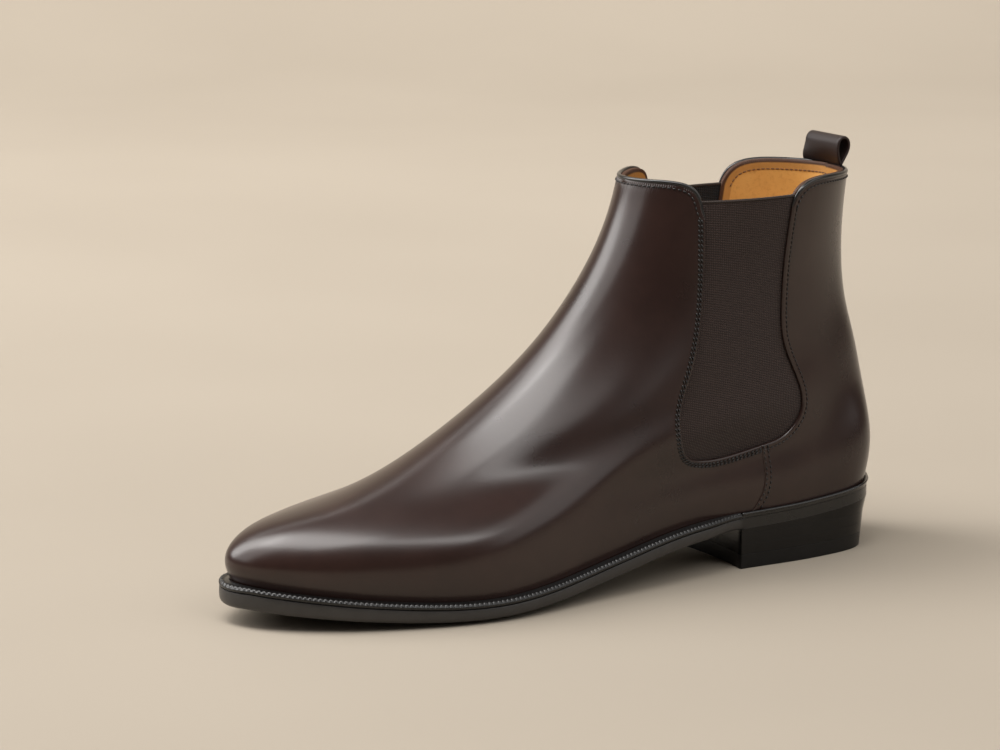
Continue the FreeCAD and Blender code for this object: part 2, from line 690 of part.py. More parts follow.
def between_heights(shape, low, high):
    return shape.common(Part.makeBox(2 * FAR, 2 * FAR, high - low, V(-FAR, -FAR, low)))


heel = heel_block()
heel_pieces = {"heel_top_piece": between_heights(heel, 0.0, TOP_PIECE_HEIGHT)}
low = TOP_PIECE_HEIGHT + GAP
for number in (1, 2):
    heel_pieces["heel_lift_%d" % number] = between_heights(heel, low, low + LIFT_HEIGHT)
    low += LIFT_HEIGHT + GAP
heel_pieces["heel_seat_lift"] = between_heights(heel, low, PLAN_HIGH)


def pin_places(count, inset_by, first_y):
    """Places around the heel, inside its outline."""
    outline = [p for p in plan_points(heel_edge_at_ground(SEAT_Y) - inset_by) if p.y > first_y]
    outline.sort(key=lambda p: p.x)
    return [outline[round(i * (len(outline) - 1) / (count - 1))] for i in range(count)]


def pins(places, radius, low, top_height):
    return [Part.makeCylinder(radius, top_height(p.y) - low, V(p.x, p.y, low)) for p in places]


def nail_top(y):
    return feather(y) + sole_high - NAIL_SUNK


def pin_top(y):
    return PIN_TOP


nail_places = pin_places(NAIL_COUNT, NAIL_INSET, BREAST_Y + 12)
pin_spots = pin_places(PIN_COUNT, PIN_INSET, BREAST_Y + 8)
nail_holes = pins(nail_places, NAIL_RADIUS + GAP, NAIL_LOW - GAP, lambda y: nail_top(y) + 3 * GAP + 1)
pin_holes = pins(pin_spots, PIN_RADIUS + GAP, -1.0, lambda y: PIN_TOP + GAP)
for name, shape in heel_pieces.items():
    keep(name, shape.cut(nail_holes).cut(pin_holes))
keep("outsole", outsole.cut(nail_holes))
keep("heel_nails", Part.makeCompound(pins(nail_places, NAIL_RADIUS, NAIL_LOW, nail_top)))
keep("top_piece_pins", Part.makeCompound(pins(pin_spots, PIN_RADIUS, PIN_LOW, pin_top)))

# ---- result ------------------------------------------------------------------------------------

os.makedirs("parts", exist_ok=True)
for name, shape in parts.items():
    shape.exportStep("parts/" + name + ".step")
    state = "valid" if shape.isValid() else "INVALID"
    print(name, len(shape.Solids), "solids", round(shape.Volume), "mm3", state)
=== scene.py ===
import math

import bmesh
import bpy
import numpy as np
from mathutils import Matrix, Quaternion, Vector
from mathutils.geometry import delaunay_2d_cdt
from mathutils.kdtree import KDTree


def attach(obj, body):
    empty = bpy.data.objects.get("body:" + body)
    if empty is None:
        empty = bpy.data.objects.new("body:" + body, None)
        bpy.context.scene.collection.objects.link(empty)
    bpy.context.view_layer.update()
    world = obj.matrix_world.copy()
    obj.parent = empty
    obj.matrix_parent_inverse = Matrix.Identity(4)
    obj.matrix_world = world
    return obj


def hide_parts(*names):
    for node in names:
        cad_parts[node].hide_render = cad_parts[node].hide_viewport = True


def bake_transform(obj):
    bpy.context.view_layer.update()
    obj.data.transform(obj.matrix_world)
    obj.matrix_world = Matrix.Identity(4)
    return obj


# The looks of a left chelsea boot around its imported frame: toe along -Y, lateral side +X, ground at Z = 0.
# Lengths here are in millimetres, like the outlines of the CAD part, and become metres when a mesh is made.

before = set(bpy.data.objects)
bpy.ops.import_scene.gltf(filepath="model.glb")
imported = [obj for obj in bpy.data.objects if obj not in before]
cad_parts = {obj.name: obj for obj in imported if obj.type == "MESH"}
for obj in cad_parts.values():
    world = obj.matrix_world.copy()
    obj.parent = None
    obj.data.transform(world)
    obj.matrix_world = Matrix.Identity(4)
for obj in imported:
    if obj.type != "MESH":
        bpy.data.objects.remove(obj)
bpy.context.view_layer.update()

MM = 0.001
SIDES = ((1, "lateral"), (-1, "medial"))

# ---- dimensions shared with the CAD part ----

LEATHER = 1.5
INTERLAYER = 1.0
LINING = 0.9
GAP = 0.15
INTER_DEPTH = LEATHER + GAP
LINING_DEPTH = INTER_DEPTH + INTERLAYER + GAP
INSIDE_DEPTH = LINING_DEPTH + LINING
WALL_MIDDLE = INTER_DEPTH + INTERLAYER / 2

WELT_THICKNESS = 2.4
WELT_WIDTH = 4.5
SEAT_WIDTH = 1.5
OUTSOLE_THICKNESS = 4.6
SOLE_HIGH = -WELT_THICKNESS - GAP
SOLE_LOW = SOLE_HIGH - OUTSOLE_THICKNESS
BREAST_Y = 71.5
WAIST_Y = 50.0
HEEL_TAPER = 3.0
HEEL_INSET = 0.5
HEEL_TAPER_FROM = 105.0     # the back of the heel slopes in behind this line
HEEL_TAPER_RUN = 45.0
HEEL_TAPER_TOP = 30.0       # and below this height
TOP_PIECE_HEIGHT = 6.0
LIFT_HEIGHT = 4.4
BREAST_RADIUS = 160.0
BREAST_HOLLOW = 3.0
CROWN_WIDTH = 50.0
CROWN_BEFORE = 10.0         # the sole's crown starts this far before the breast
CROWN_FADE = 70.0

FRONT_TOP_Z = 165.0
REAR_TOP_Z = 163.0
BACK_TOP_Z = 162.0
GUSSET_TOPS = {1: 156.0, -1: 152.5}
GUSSET_ALLOWANCE = 7.0
MEDIAL_SHIFT = 9.0
HINGE_Z = 57.5

TAB_WIDTH = 23.0
TAB_FROM_X = -14.0
TAB_THICKNESS = 1.3
TAB_HEIGHT = 12.5
TAB_DEPTH = 7.0
TAB_LEAN = 4.0
TAB_AXIS = (138.674, 162.80)

STATIONS = [
    (0.00, (-147.0, 17.0), (150.0, 30.0)),
    (0.08, (-149.0, 26.0), (152.0, 42.0)),
    (0.17, (-138.5, 37.0), (152.0, 54.0)),
    (0.30, (-106.0, 48.0), (150.5, 71.0)),
    (0.45, (-62.0, 63.8), (146.0, 90.0)),
    (0.60, (-18.0, 90.0), (141.0, 108.0)),
    (0.75, (13.0, 121.0), (139.0, 128.0)),
    (0.88, (29.0, 149.0), (139.5, 149.0)),
    (1.00, (37.0, 178.0), (142.0, 172.0)),
]
LATERAL_OUTLINE = [-6.0, 13.0, 32.5, 45.0, 38.0, 31.5, 32.0, 27.0, 0.0]
MEDIAL_OUTLINE = [6.0, 22.0, 37.5, 43.0, 29.0, 27.5, 31.0, 26.5, 0.0]
OUTLINE_SCALE = [1.0, 1.03, 0.99]
SECTIONS = [
    (37.0, 34.0, 1.0, 0.56),
    (35.0, 33.0, 1.0, 0.62),
    (33.5, 32.0, 1.0, 0.72),
    (33.5, 31.5, 1.0, 0.85),
    (36.0, 31.5, 1.0, 0.95),
    (38.0, 31.5, 1.0, 0.98),
]
SOLE_DIP = [(-147, 0), (-100, -7.8), (-55, -12.0), (-10, -9.3), (40, -3.1), (80, -2.5), (110, -2.5), (150, 0)]
AROUND = 16

GUSSET = [
    (53.5, 160.0), (52.8, 136.0), (51.5, 115.0), (44.5, 87.0), (37.6, 64.0), (42.0, 52.5), (54.0, 48.6),
    (68.0, 49.2), (82.0, 51.5), (95.0, 55.5), (102.3, 65.0), (98.5, 82.0), (92.5, 97.0), (91.5, 115.0),
    (92.0, 138.0), (93.8, 160.0),
]
FRONT_TOP = [
    (0.0, FRONT_TOP_Z), (20.0, FRONT_TOP_Z), (35.0, FRONT_TOP_Z), (44.0, 164.6), (49.5, 162.2), (52.0, 158.0),
    (53.0, 153.0), (56.0, 146.0),
]
REAR_TOP = [
    (88.0, 144.0), (91.5, 150.5), (94.5, 157.0), (99.5, 161.2), (107.0, REAR_TOP_Z), (120.0, REAR_TOP_Z),
    (145.0, BACK_TOP_Z), (170.0, BACK_TOP_Z),
]
QUARTER_SEAM = [(81.0, 62.0), (82.3, 50.0), (83.2, 42.0), (82.0, 32.0), (77.0, 24.0), (72.0, 19.0)]

# ---- dimensions of the visible detail ----

FLOOR_LEVEL = -0.019        # level just below the feather line, behind the welt
DROP_PER_LEVEL = 120.0      # the wall runs straight down below level 0
LATTICE = 2.0               # spacing of the points inside a panel
LATTICE_STRETCH = 1.15      # and how much wider the widest part of the surface may be than its middle
LATTICE_ROW = 0.87
LATTICE_CLEAR = 0.55
EDGE_STEP = 1.0             # spacing along a panel's edge
FLOOR_STEP = 1.6            # and along its lower edge, behind the welt
TOP_STEP = 0.8              # and along the top lines
SEAM_FOOT = (3.0, 4.0)      # how far the quarter seam goes on forwards and down, behind the welt
PIPING = 0.95               # radius of the bead along the top lines
PIPING_TAPER = 9.0          # length over which the bead thins out at its ends
TOP_DROP = 1.0              # the leather ends this far below the top line, the lining less
LINING_DROP = 0.6
TAB_STEPS = 60
TAB_ROOT = 1.6              # how far the strap goes down into the wall
TAB_STRAIGHT = 8.0          # height above its foot at which the strap runs straight across
TAB_ROUND = 0.5             # share of the wall's round that the strap's foot takes
TAB_KNEE = 1.0              # depth at which the two ends of the strap lie together
TAB_PARTING = 0.36          # gap between the two ends at the top line, to each side
TAB_HALVES = (0.3, 0.34, 0.4)   # half thickness at the foot, the knee and the top line
TAB_LEVEL = 0.95            # level of the surface at the top of the back
TEARDROP_PEAK = 0.77


# ---- the surface of the upper ----

def run_length(points):
    """Distance along a polyline at each of its points."""
    return np.r_[0, np.cumsum(np.linalg.norm(np.diff(points, axis=0), axis=1))]


def ease(t):
    """Smooth step from 0 to 1."""
    t = np.clip(t, 0, 1)
    return t * t * (3 - 2 * t)


def natural_spline(xs, ys):
    """Natural cubic spline through the points, as a function of an array; ys may have several columns."""
    xs = np.array(xs, float)
    ys = np.array(ys, float)
    steps = np.diff(xs)
    system = np.eye(len(xs))
    right = np.zeros_like(ys)
    for i in range(1, len(xs) - 1):
        system[i, i - 1:i + 2] = steps[i - 1], 2 * (steps[i - 1] + steps[i]), steps[i]
        right[i] = 6 * ((ys[i + 1] - ys[i]) / steps[i] - (ys[i] - ys[i - 1]) / steps[i - 1])
    moments = np.linalg.solve(system, right)

    def value(x):
        x = np.asarray(x, float)
        i = np.clip(np.searchsorted(xs, x, side="right") - 1, 0, len(xs) - 2)
        after = x - xs[i]
        before = xs[i + 1] - x
        step = steps[i]
        if ys.ndim > 1:
            after, before, step = after[..., None], before[..., None], step[..., None]
        bend = (moments[i] * before ** 3 + moments[i + 1] * after ** 3) / (6 * step)
        left_line = (ys[i] / step - moments[i] * step / 6) * before
        right_line = (ys[i + 1] / step - moments[i + 1] * step / 6) * after
        return bend + left_line + right_line

    return value


def half_width(column, station):
    """Signed x of one column at one station; column 0 is the toe, half way round is the heel."""
    if station < len(OUTLINE_SCALE):
        if column <= AROUND // 2:
            return LATERAL_OUTLINE[column] * OUTLINE_SCALE[station]
        return -MEDIAL_OUTLINE[AROUND - column] * OUTLINE_SCALE[station]
    lateral, medial, front_power, back_power = SECTIONS[station - len(OUTLINE_SCALE)]
    angle = column * 2 * math.pi / AROUND
    side = math.sin(angle)
    if abs(side) < 1e-9:
        return 0.0
    width = lateral if side > 0 else medial
    power = front_power if math.cos(angle) > 0 else back_power
    return math.copysign(width * abs(side) ** power, side)


levels = [row[0] for row in STATIONS]
front_line = natural_spline(levels, [row[1] for row in STATIONS])
back_line = natural_spline(levels, [row[2] for row in STATIONS])
sole_dip = natural_spline([p[0] for p in SOLE_DIP], [p[1] for p in SOLE_DIP])
widths = natural_spline(levels, [[half_width(c, i) for c in range(AROUND)] for i in range(len(STATIONS))])
TOE_Y = STATIONS[0][1][0]
SEAT_Y = STATIONS[0][2][0]


def dip(y):
    return sole_dip(np.clip(y, TOE_Y, SEAT_Y))


def surface(angle, level):
    """Points on the outside of the upper: angle 0 is the toe, pi the back seam, positive angles lateral."""
    angle, level = np.broadcast_arrays(np.asarray(angle, float), np.asarray(level, float))
    below = np.minimum(level, 0.0)
    level = np.clip(level, 0.0, 1.0)
    row = widths(level)
    t = (angle / (2 * math.pi) * AROUND) % AROUND
    i = np.floor(t).astype(int) % AROUND
    u = t - np.floor(t)
    columns = [((i + k - 1) % AROUND)[..., None] for k in range(4)]
    p0, p1, p2, p3 = [np.take_along_axis(row, column, -1)[..., 0] for column in columns]
    x = p1 + 0.5 * u * (p2 - p0 + u * (2 * p0 - 5 * p1 + 4 * p2 - p3 + u * (3 * (p1 - p2) + p3 - p0)))
    back = ((1 - np.cos(angle)) / 2)[..., None]
    yz = front_line(level) * (1 - back) + back_line(level) * back
    y = yz[..., 0]
    z = yz[..., 1] + dip(y) * (1 - level) ** 3 + below * DROP_PER_LEVEL
    return np.stack([x, y, z], -1)


def unit(vectors):
    return vectors / np.maximum(np.linalg.norm(vectors, axis=-1, keepdims=True), 1e-12)


def slopes(angle, level):
    """Derivatives of the surface around the boot and up it."""
    step = 1e-3
    around = (surface(angle + step, level) - surface(angle - step, level)) / (2 * step)
    high = np.minimum(level + step, 1.0)
    low = np.where(level > step, level - step, level)
    up = (surface(angle, high) - surface(angle, low)) / (high - low)[..., None]
    return around, up


def normals(angle, level):
    around, up = slopes(angle, level)
    return unit(np.cross(around, up))


def inset(angle, level, depth):
    """Points of the surface moved inwards along its normal."""
    angle, level = np.broadcast_arrays(np.asarray(angle, float), np.asarray(level, float))
    return surface(angle, level) - normals(angle, level) * np.asarray(depth, float)[..., None]


def move_on_surface(angle, level, vector):
    """Angle and level after a small move along a vector in the tangent plane."""
    around, up = slopes(angle, level)
    aa = (around * around).sum(-1)
    uu = (up * up).sum(-1)
    au = (around * up).sum(-1)
    va = (vector * around).sum(-1)
    vu = (vector * up).sum(-1)
    whole = aa * uu - au * au
    return angle + (va * uu - vu * au) / whole, level + (vu * aa - va * au) / whole


def feather(y):
    """Height of the line where the upper meets the welt."""
    (y0, z0), (y1, z1) = STATIONS[0][1], STATIONS[0][2]
    return z0 + (z1 - z0) * (np.asarray(y, float) - y0) / (y1 - y0) + dip(y)


# ---- outlines in side view and on the surface ----

def lean(pairs, side):
    """Shift an outline backwards on the medial side, more towards its top."""
    if side > 0:
        return list(pairs)
    height = GUSSET_TOPS[1] - HINGE_Z
    return [(y + MEDIAL_SHIFT * max(0.0, (z - HINGE_Z) / height), z) for y, z in pairs]


def smooth(pairs, step=0.6):
    """Dense points on a smooth curve through side view points."""
    points = np.array(pairs, float)
    along = run_length(points)
    return natural_spline(along, points)(np.linspace(0, along[-1], int(along[-1] / step) + 2))


def crossing(a, b):
    """Indices and point where polyline a first crosses polyline b."""
    for i in range(len(a) - 1):
        p, r = a[i], a[i + 1] - a[i]
        q, s = b[:-1], b[1:] - b[:-1]
        d = r[0] * s[:, 1] - r[1] * s[:, 0]
        d = np.where(abs(d) < 1e-12, 1e-12, d)
        t = ((q[:, 0] - p[0]) * s[:, 1] - (q[:, 1] - p[1]) * s[:, 0]) / d
        u = ((q[:, 0] - p[0]) * r[1] - (q[:, 1] - p[1]) * r[0]) / d
        hit = np.nonzero((t >= 0) & (t < 1) & (u >= 0) & (u < 1))[0]
        if len(hit):
            return i, int(hit[0]), p + r * t[hit[0]]
    raise ValueError("the outlines do not cross")


def shifted(points, distance):
    """Side view polyline moved to its left."""
    along = unit(np.gradient(points, axis=0))
    return points + np.stack([-along[:, 1], along[:, 0]], 1) * distance


def on_surface(points, side):
    """Angle and level of side view points on one side of the boot."""
    y, z = np.asarray(points, float).T
    low = np.full(len(y), -0.12)
    high = np.full(len(y), 1.0)

    def back_share(level):
        clipped = np.clip(level, 0, 1)
        front = front_line(clipped)[:, 0]
        rear = back_line(clipped)[:, 0]
        return np.clip((y - front) / (rear - front), 0, 1)

    for _ in range(40):
        middle = (low + high) / 2
        angle = np.arccos(1 - 2 * back_share(middle))
        above = surface(angle, middle)[:, 2] > z
        high = np.where(above, middle, high)
        low = np.where(above, low, middle)
    level = (low + high) / 2
    return np.stack([side * np.arccos(1 - 2 * back_share(level)), level], 1)


def spaced(path, step=EDGE_STEP):
    """Angle and level path with points at even distances along the surface."""
    fine = [path[0]]
    for a, b in zip(path[:-1], path[1:]):
        length = np.linalg.norm(surface(*b) - surface(*a))
        for t in np.arange(1, max(int(length / 0.25), 1) + 1) / max(int(length / 0.25), 1):
            fine.append(a + (b - a) * t)
    fine = np.array(fine)
    along = run_length(surface(*fine.T))
    count = max(int(round(along[-1] / step)), 1)
    marks = np.linspace(0, along[-1], count + 1)
    return np.stack([np.interp(marks, along, fine[:, 0]), np.interp(marks, along, fine[:, 1])], 1)


def path_frame(path, closed=False):
    """Points, outward normals, directions and leftward vectors along a path on the surface."""
    points = surface(*path.T)
    if closed:
        along = unit(np.roll(points, -1, 0) - np.roll(points, 1, 0))
    else:
        along = unit(np.gradient(points, axis=0))
    outward = normals(*path.T)
    left = unit(np.cross(outward, along))
    return points, outward, along, left


def offset_path(path, distance, closed=False):
    """Path moved to its left over the surface; distance is a length or one per point."""
    left = path_frame(path, closed)[3]
    distance = np.broadcast_to(np.asarray(distance, float), (len(path),))
    return np.stack(move_on_surface(*path.T, left * distance[:, None]), 1)


# ---- meshes ----

def add_mesh(name, points, faces):
    """New smooth shaded object from points in millimetres."""
    mesh = bpy.data.meshes.new(name)
    mesh.from_pydata((np.asarray(points, float) * MM).tolist(), [], [tuple(map(int, f)) for f in faces])
    mesh.polygons.foreach_set("use_smooth", [True] * len(mesh.polygons))
    mesh.update()
    obj = bpy.data.objects.new(name, mesh)
    bpy.context.scene.collection.objects.link(obj)
    return obj


def set_attribute(obj, name, values):
    attribute = obj.data.attributes.new(name, "FLOAT", "POINT")
    attribute.data.foreach_set("value", np.asarray(values, np.float32))


def inside_polygon(points, polygon):
    """Which 2-D points lie inside a closed polygon."""
    inside = np.zeros(len(points), bool)
    x, y = points.T
    for a, b in zip(polygon, np.roll(polygon, -1, 0)):
        rising = (a[1] > y) != (b[1] > y)
        if rising.any():
            cross_x = a[0] + (y[rising] - a[1]) * (b[0] - a[0]) / (b[1] - a[1])
            inside[rising] ^= x[rising] < cross_x
    return inside


def triangulate(loop, lattice):
    """Triangles inside a loop, with the lattice points as inner vertices."""
    edges = [(i, (i + 1) % len(loop)) for i in range(len(loop))]
    made = delaunay_2d_cdt([Vector(p) for p in loop.tolist() + lattice.tolist()], edges, [], 0, 1e-7)
    flat = np.array([tuple(v) for v in made[0]])
    triangles = np.array([f for f in made[2] if len(f) == 3])
    triangles = triangles[inside_polygon(flat[triangles].mean(1), loop)]
    used = np.unique(triangles)
    number = np.full(len(flat), -1)
    number[used] = np.arange(len(used))
    return flat[used], number[triangles]


def shade_as(obj, wanted, share):
    """Give the vertices their true surface normals, as far as share says."""
    count = len(obj.data.vertices)
    current = np.empty(count * 3, np.float32)
    obj.data.vertex_normals.foreach_get("vector", current)
    share = share[:, None]
    obj.data.normals_split_custom_set_from_vertices(
        unit(current.reshape(-1, 3) * (1 - share) + wanted * share).tolist())


def edge_distance(points, boundary, kinds):
    """Distance of 3-D points to a closed boundary, and the kind of the nearest edge of it."""
    tree = KDTree(len(boundary))
    for i, p in enumerate(boundary):
        tree.insert(Vector(p), i)
    tree.balance()
    nearest = np.array([tree.find(Vector(p))[1] for p in points])
    best = np.full(len(points), 1e9)
    kind = kinds[nearest]
    for first in (nearest - 1, nearest):
        a = boundary[first % len(boundary)]
        b = boundary[(first + 1) % len(boundary)]
        ab = b - a
        t = np.clip(((points - a) * ab).sum(-1) / np.maximum((ab * ab).sum(-1), 1e-12), 0, 1)
        distance = np.linalg.norm(points - a - ab * t[:, None], axis=-1)
        kind = np.where(distance < best - 1e-9, kinds[first % len(boundary)], kind)
        best = np.minimum(best, distance)
    return best, kind


def panel(name, runs, rings, outer, inner, lattice=LATTICE):
    """Closed leather or cloth panel on the surface.

    runs are (path, kind) stretches of its edge, anticlockwise in angle and level; rings are distances from
    the edge that get a row of points; outer and inner give the depth from edge distance, kind and position.
    """
    boundary = []
    kinds = []
    for path, kind in runs:
        boundary.extend(path[:-1])
        kinds.extend([kind] * (len(path) - 1))
    boundary = np.array(boundary)
    kinds = np.array(kinds)
    loops = [offset_path(boundary, ring, True) for ring in rings]
    low = boundary.min(0)
    high = boundary.max(0)
    middle = (low + high) / 2
    around, up = slopes(np.array([middle[0]]), np.array([middle[1]]))
    da = lattice / (np.linalg.norm(around) * LATTICE_STRETCH)
    dv = lattice * LATTICE_ROW / np.linalg.norm(up)
    rows = np.arange(low[1], high[1] + dv, dv)
    cols = np.arange(low[0], high[0] + da, da)
    grid = np.array([(a + (k % 2) * da / 2, v) for k, v in enumerate(rows) for a in cols])
    grid = grid[inside_polygon(grid, loops[-1] if loops else boundary)]
    solid_edge = surface(*boundary.T)
    margin = (rings[-1] if rings else 0) + lattice * LATTICE_CLEAR
    clear = edge_distance(surface(*grid.T), solid_edge, kinds)[0] > margin
    inner_points = np.vstack([loop[inside_polygon(loop, boundary)] for loop in loops] + [grid[clear]])
    apart = edge_distance(surface(*inner_points.T), solid_edge, kinds)[0] > 0.08
    flat, triangles = triangulate(boundary, inner_points[apart])
    shape = surface(*flat.T)
    distance, kind = edge_distance(shape, solid_edge, kinds)
    distance = np.where(distance < 0.03, 0.0, distance)
    top = inset(*flat.T, outer(distance, kind, shape))
    bottom = inset(*flat.T, inner(distance, kind, shape))
    count = len(flat)
    sides = np.vstack([triangles[:, [0, 1]], triangles[:, [1, 2]], triangles[:, [2, 0]]])
    keys = {(int(a), int(b)) for a, b in sides}
    rim = [(a, b) for a, b in keys if (b, a) not in keys]
    faces = triangles.tolist()
    faces += (triangles[:, ::-1] + count).tolist()
    faces += [(b, a, a + count, b + count) for a, b in rim]
    obj = add_mesh(name, np.vstack([top, bottom]), faces)
    set_attribute(obj, "edge", np.r_[distance, distance])
    set_attribute(obj, "inner", np.r_[np.zeros(count), np.ones(count)])
    true = normals(*flat.T)
    share = np.clip((distance - 3.0) / 3.0, 0, 1)
    shade_as(obj, np.vstack([true, -true]), np.r_[share, share])
    return obj


def sweep(name, centres, sides, profile):
    """Tube through a row of places: each has two side vectors, and profile points combine them."""
    first, second = sides
    across = first[:, None] * profile[None, :, 0:1]
    points = centres[:, None] + across + second[:, None] * profile[None, :, 1:2]
    return fix_normals(add_mesh(name, points.reshape(-1, 3), tube_faces(len(centres), len(profile))))


def tube_faces(count, ring):
    """Quads of a grid of count rings, and its end caps."""
    faces = []
    for i in range(count - 1):
        for k in range(ring):
            a = i * ring + k
            n = i * ring + (k + 1) % ring
            faces.append((a, n, n + ring, a + ring))
    faces.append(tuple(range(ring - 1, -1, -1)))
    faces.append(tuple(range((count - 1) * ring, count * ring)))
    return faces


def circle(radius, sides, tall=1.0):
    turns = np.arange(sides) * 2 * math.pi / sides
    return np.stack([radius * np.cos(turns), radius * tall * np.sin(turns)], 1)


def fix_normals(obj):
    """Point a closed mesh's faces outwards."""
    mesh = bmesh.new()
    mesh.from_mesh(obj.data)
    bmesh.ops.recalc_face_normals(mesh, faces=mesh.faces)
    mesh.to_mesh(obj.data)
    mesh.free()
    return obj


def blend_front(obj):
    """Bake the front's place into its mesh; the bend at the instep is not made here."""
    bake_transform(obj)


def assign(obj, material):
    obj.data.materials.clear()
    obj.data.materials.append(material)


def dress(piece, material, nodes=(), move=None):
    """Finish of a piece, the CAD nodes it stands for, and the body it rides on or a function it is passed to.
    """
    assign(piece, material)
    if nodes:
        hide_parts(*nodes)
    if callable(move):
        move(piece)
    else:
        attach(piece, move)


# ---- outlines of the panels ----

def run(points, side):
    return spaced(on_surface(points, side))


def panel_edges(side, top_line, top_drop, gusset_grow=0.0, seam_shift=0.0):
    """Edge of the front panel or a quarter on one side: quarter seam, gusset edge and top line, as paths."""
    seam = shifted(smooth(QUARTER_SEAM[::-1]), seam_shift)
    gusset = shifted(smooth(lean(GUSSET, side)), -gusset_grow)
    top = shifted(smooth(lean(top_line, side)), -top_drop)
    i, j, foot = crossing(seam, gusset)
    k, m, corner = crossing(top, gusset)
    seam = np.vstack([[seam[0] - SEAM_FOOT], seam[:i + 1], foot])
    if top_line is REAR_TOP:
        edge = np.vstack([foot, gusset[j + 1:m + 1], corner])
        line = np.vstack([corner, top[k + 1:]])
    else:
        edge = np.vstack([corner, gusset[m + 1:j + 1], foot])[::-1]
        line = np.vstack([top[:k + 1], corner])[::-1]
    return run(seam, side), run(edge, side), run(line, side)


def from_floor(seam, floor):
    """Seam path that starts at the floor level."""
    seam = seam[seam[:, 1] > floor]
    return np.vstack([[(seam[0][0], floor)], seam])


def to_middle(line, middle):
    """Top line path that ends at the middle of the toe or heel."""
    line = line[abs(line[:, 0] - middle) > 1e-3]
    return np.vstack([line, [(middle, line[-1][1])]])


def front_panel_runs(top_drop, floor, top_line=FRONT_TOP, gusset_grow=0.0, seam_shift=0.0):
    """Edge of a panel that covers vamp and shaft front, anticlockwise."""
    lateral, medial = [], []
    for side, paths in ((1, lateral), (-1, medial)):
        seam, edge, line = panel_edges(side, top_line, top_drop, gusset_grow, seam_shift)
        paths += [(from_floor(seam, floor), 1), (edge, 2), (to_middle(line, 0.0), 3)]
    floor_path = spaced(np.array([medial[0][0][0], (0.0, floor), lateral[0][0][0]]), FLOOR_STEP)
    return [(floor_path, 0)] + lateral + [(path[::-1], kind) for path, kind in medial[::-1]]


def quarter_runs(side, top_drop, floor):
    """Edge of a quarter from its seam with the vamp to the back seam."""
    seam, edge, line = panel_edges(side, REAR_TOP, top_drop)
    seam = from_floor(seam, floor)
    end = side * math.pi
    line = to_middle(line, end)
    back = spaced(np.array([line[-1], (end, floor)]))
    floor_path = spaced(np.array([(end, floor), seam[0]]), FLOOR_STEP)
    runs = [(seam, 1), (edge, 2), (line, 3), (back, 4), (floor_path, 0)]
    if side > 0:
        return [(path[::-1], kind) for path, kind in runs[::-1]]
    return runs


def whole_quarter_runs(top_drop, floor):
    """Edge of a panel that goes round the heel from one quarter seam to the other."""
    lateral = {kind: path for path, kind in quarter_runs(1, top_drop, floor)}
    medial = {kind: path + (2 * math.pi, 0.0) for path, kind in quarter_runs(-1, top_drop, floor)}
    order = [(lateral, 0)] + [(medial, kind) for kind in range(4)] + [(lateral, kind) for kind in (3, 2, 1)]
    return [(paths[kind], kind) for paths, kind in order]


def top_path(top_line, drop):
    """Whole top line of the front or the quarters, from the lateral gusset to the medial one."""
    middle = math.pi if top_line is REAR_TOP else 0.0
    lateral = to_middle(panel_edges(1, top_line, drop)[2], middle)
    medial = panel_edges(-1, top_line, drop)[2] + (2 * middle, 0.0)
    medial = medial[abs(medial[:, 0] - middle) > 1e-3]
    return spaced(np.vstack([lateral, medial[::-1]]), TOP_STEP)


def level_run(side, first, last, count):
    """Level path at the top of the elastic."""
    return run(np.array([(y, GUSSET_TOPS[side]) for y in np.linspace(first, last, count)]), side)


def gusset_runs(side):
    """Edge of the elastic with its hidden allowance, cut level at the top."""
    outline = shifted(smooth(lean(GUSSET, side)), -GUSSET_ALLOWANCE)
    inside = outline[outline[:, 1] < GUSSET_TOPS[side]]
    runs = [(run(inside, side), 0), (level_run(side, inside[-1][0], inside[0][0], 40), 3)]
    if side < 0:
        runs = [(path[::-1], kind) for path, kind in runs[::-1]]
    return runs


# ---- thread ----

def stitch_points(centre, along, side, outward, length, radius):
    """Points of one stitch: a short thread that dips into the leather at both ends."""
    points = []
    for u, share in ((-1, 0.35), (-0.8, 0.8), (-0.35, 1.0), (0.35, 1.0), (0.8, 0.8), (1, 0.35)):
        rise = radius * (0.75 - 1.15 * u * u)
        for turn in np.arange(6) * math.pi / 3:
            offset = side * math.cos(turn) + outward * math.sin(turn)
            points.append(centre + along * (u * length / 2) + outward * rise + offset * radius * share)
    return points


def stitches(name, rows, pitch, length, radius, slant=0.0):
    """One mesh of all the stitches along rows of (path, depth); slant in degrees."""
    points = []
    faces = []
    pattern = tube_faces(6, 6)
    for path, depth in rows:
        even = spaced(path, pitch)
        even = (even[:-1] + even[1:]) / 2
        places = inset(*even.T, depth)
        _, outward, along, left = path_frame(even)
        turn = math.radians(slant)
        direction = along * math.cos(turn) + left * math.sin(turn)
        if depth > LEATHER:
            outward = -outward
        side = np.cross(direction, outward)
        for i in range(len(even)):
            first = len(points)
            points.extend(stitch_points(places[i], direction[i], side[i], outward[i], length, radius))
            faces.extend([tuple(first + k for k in f) for f in pattern])
    return fix_normals(add_mesh(name, np.array(points), faces))


# ---- materials ----

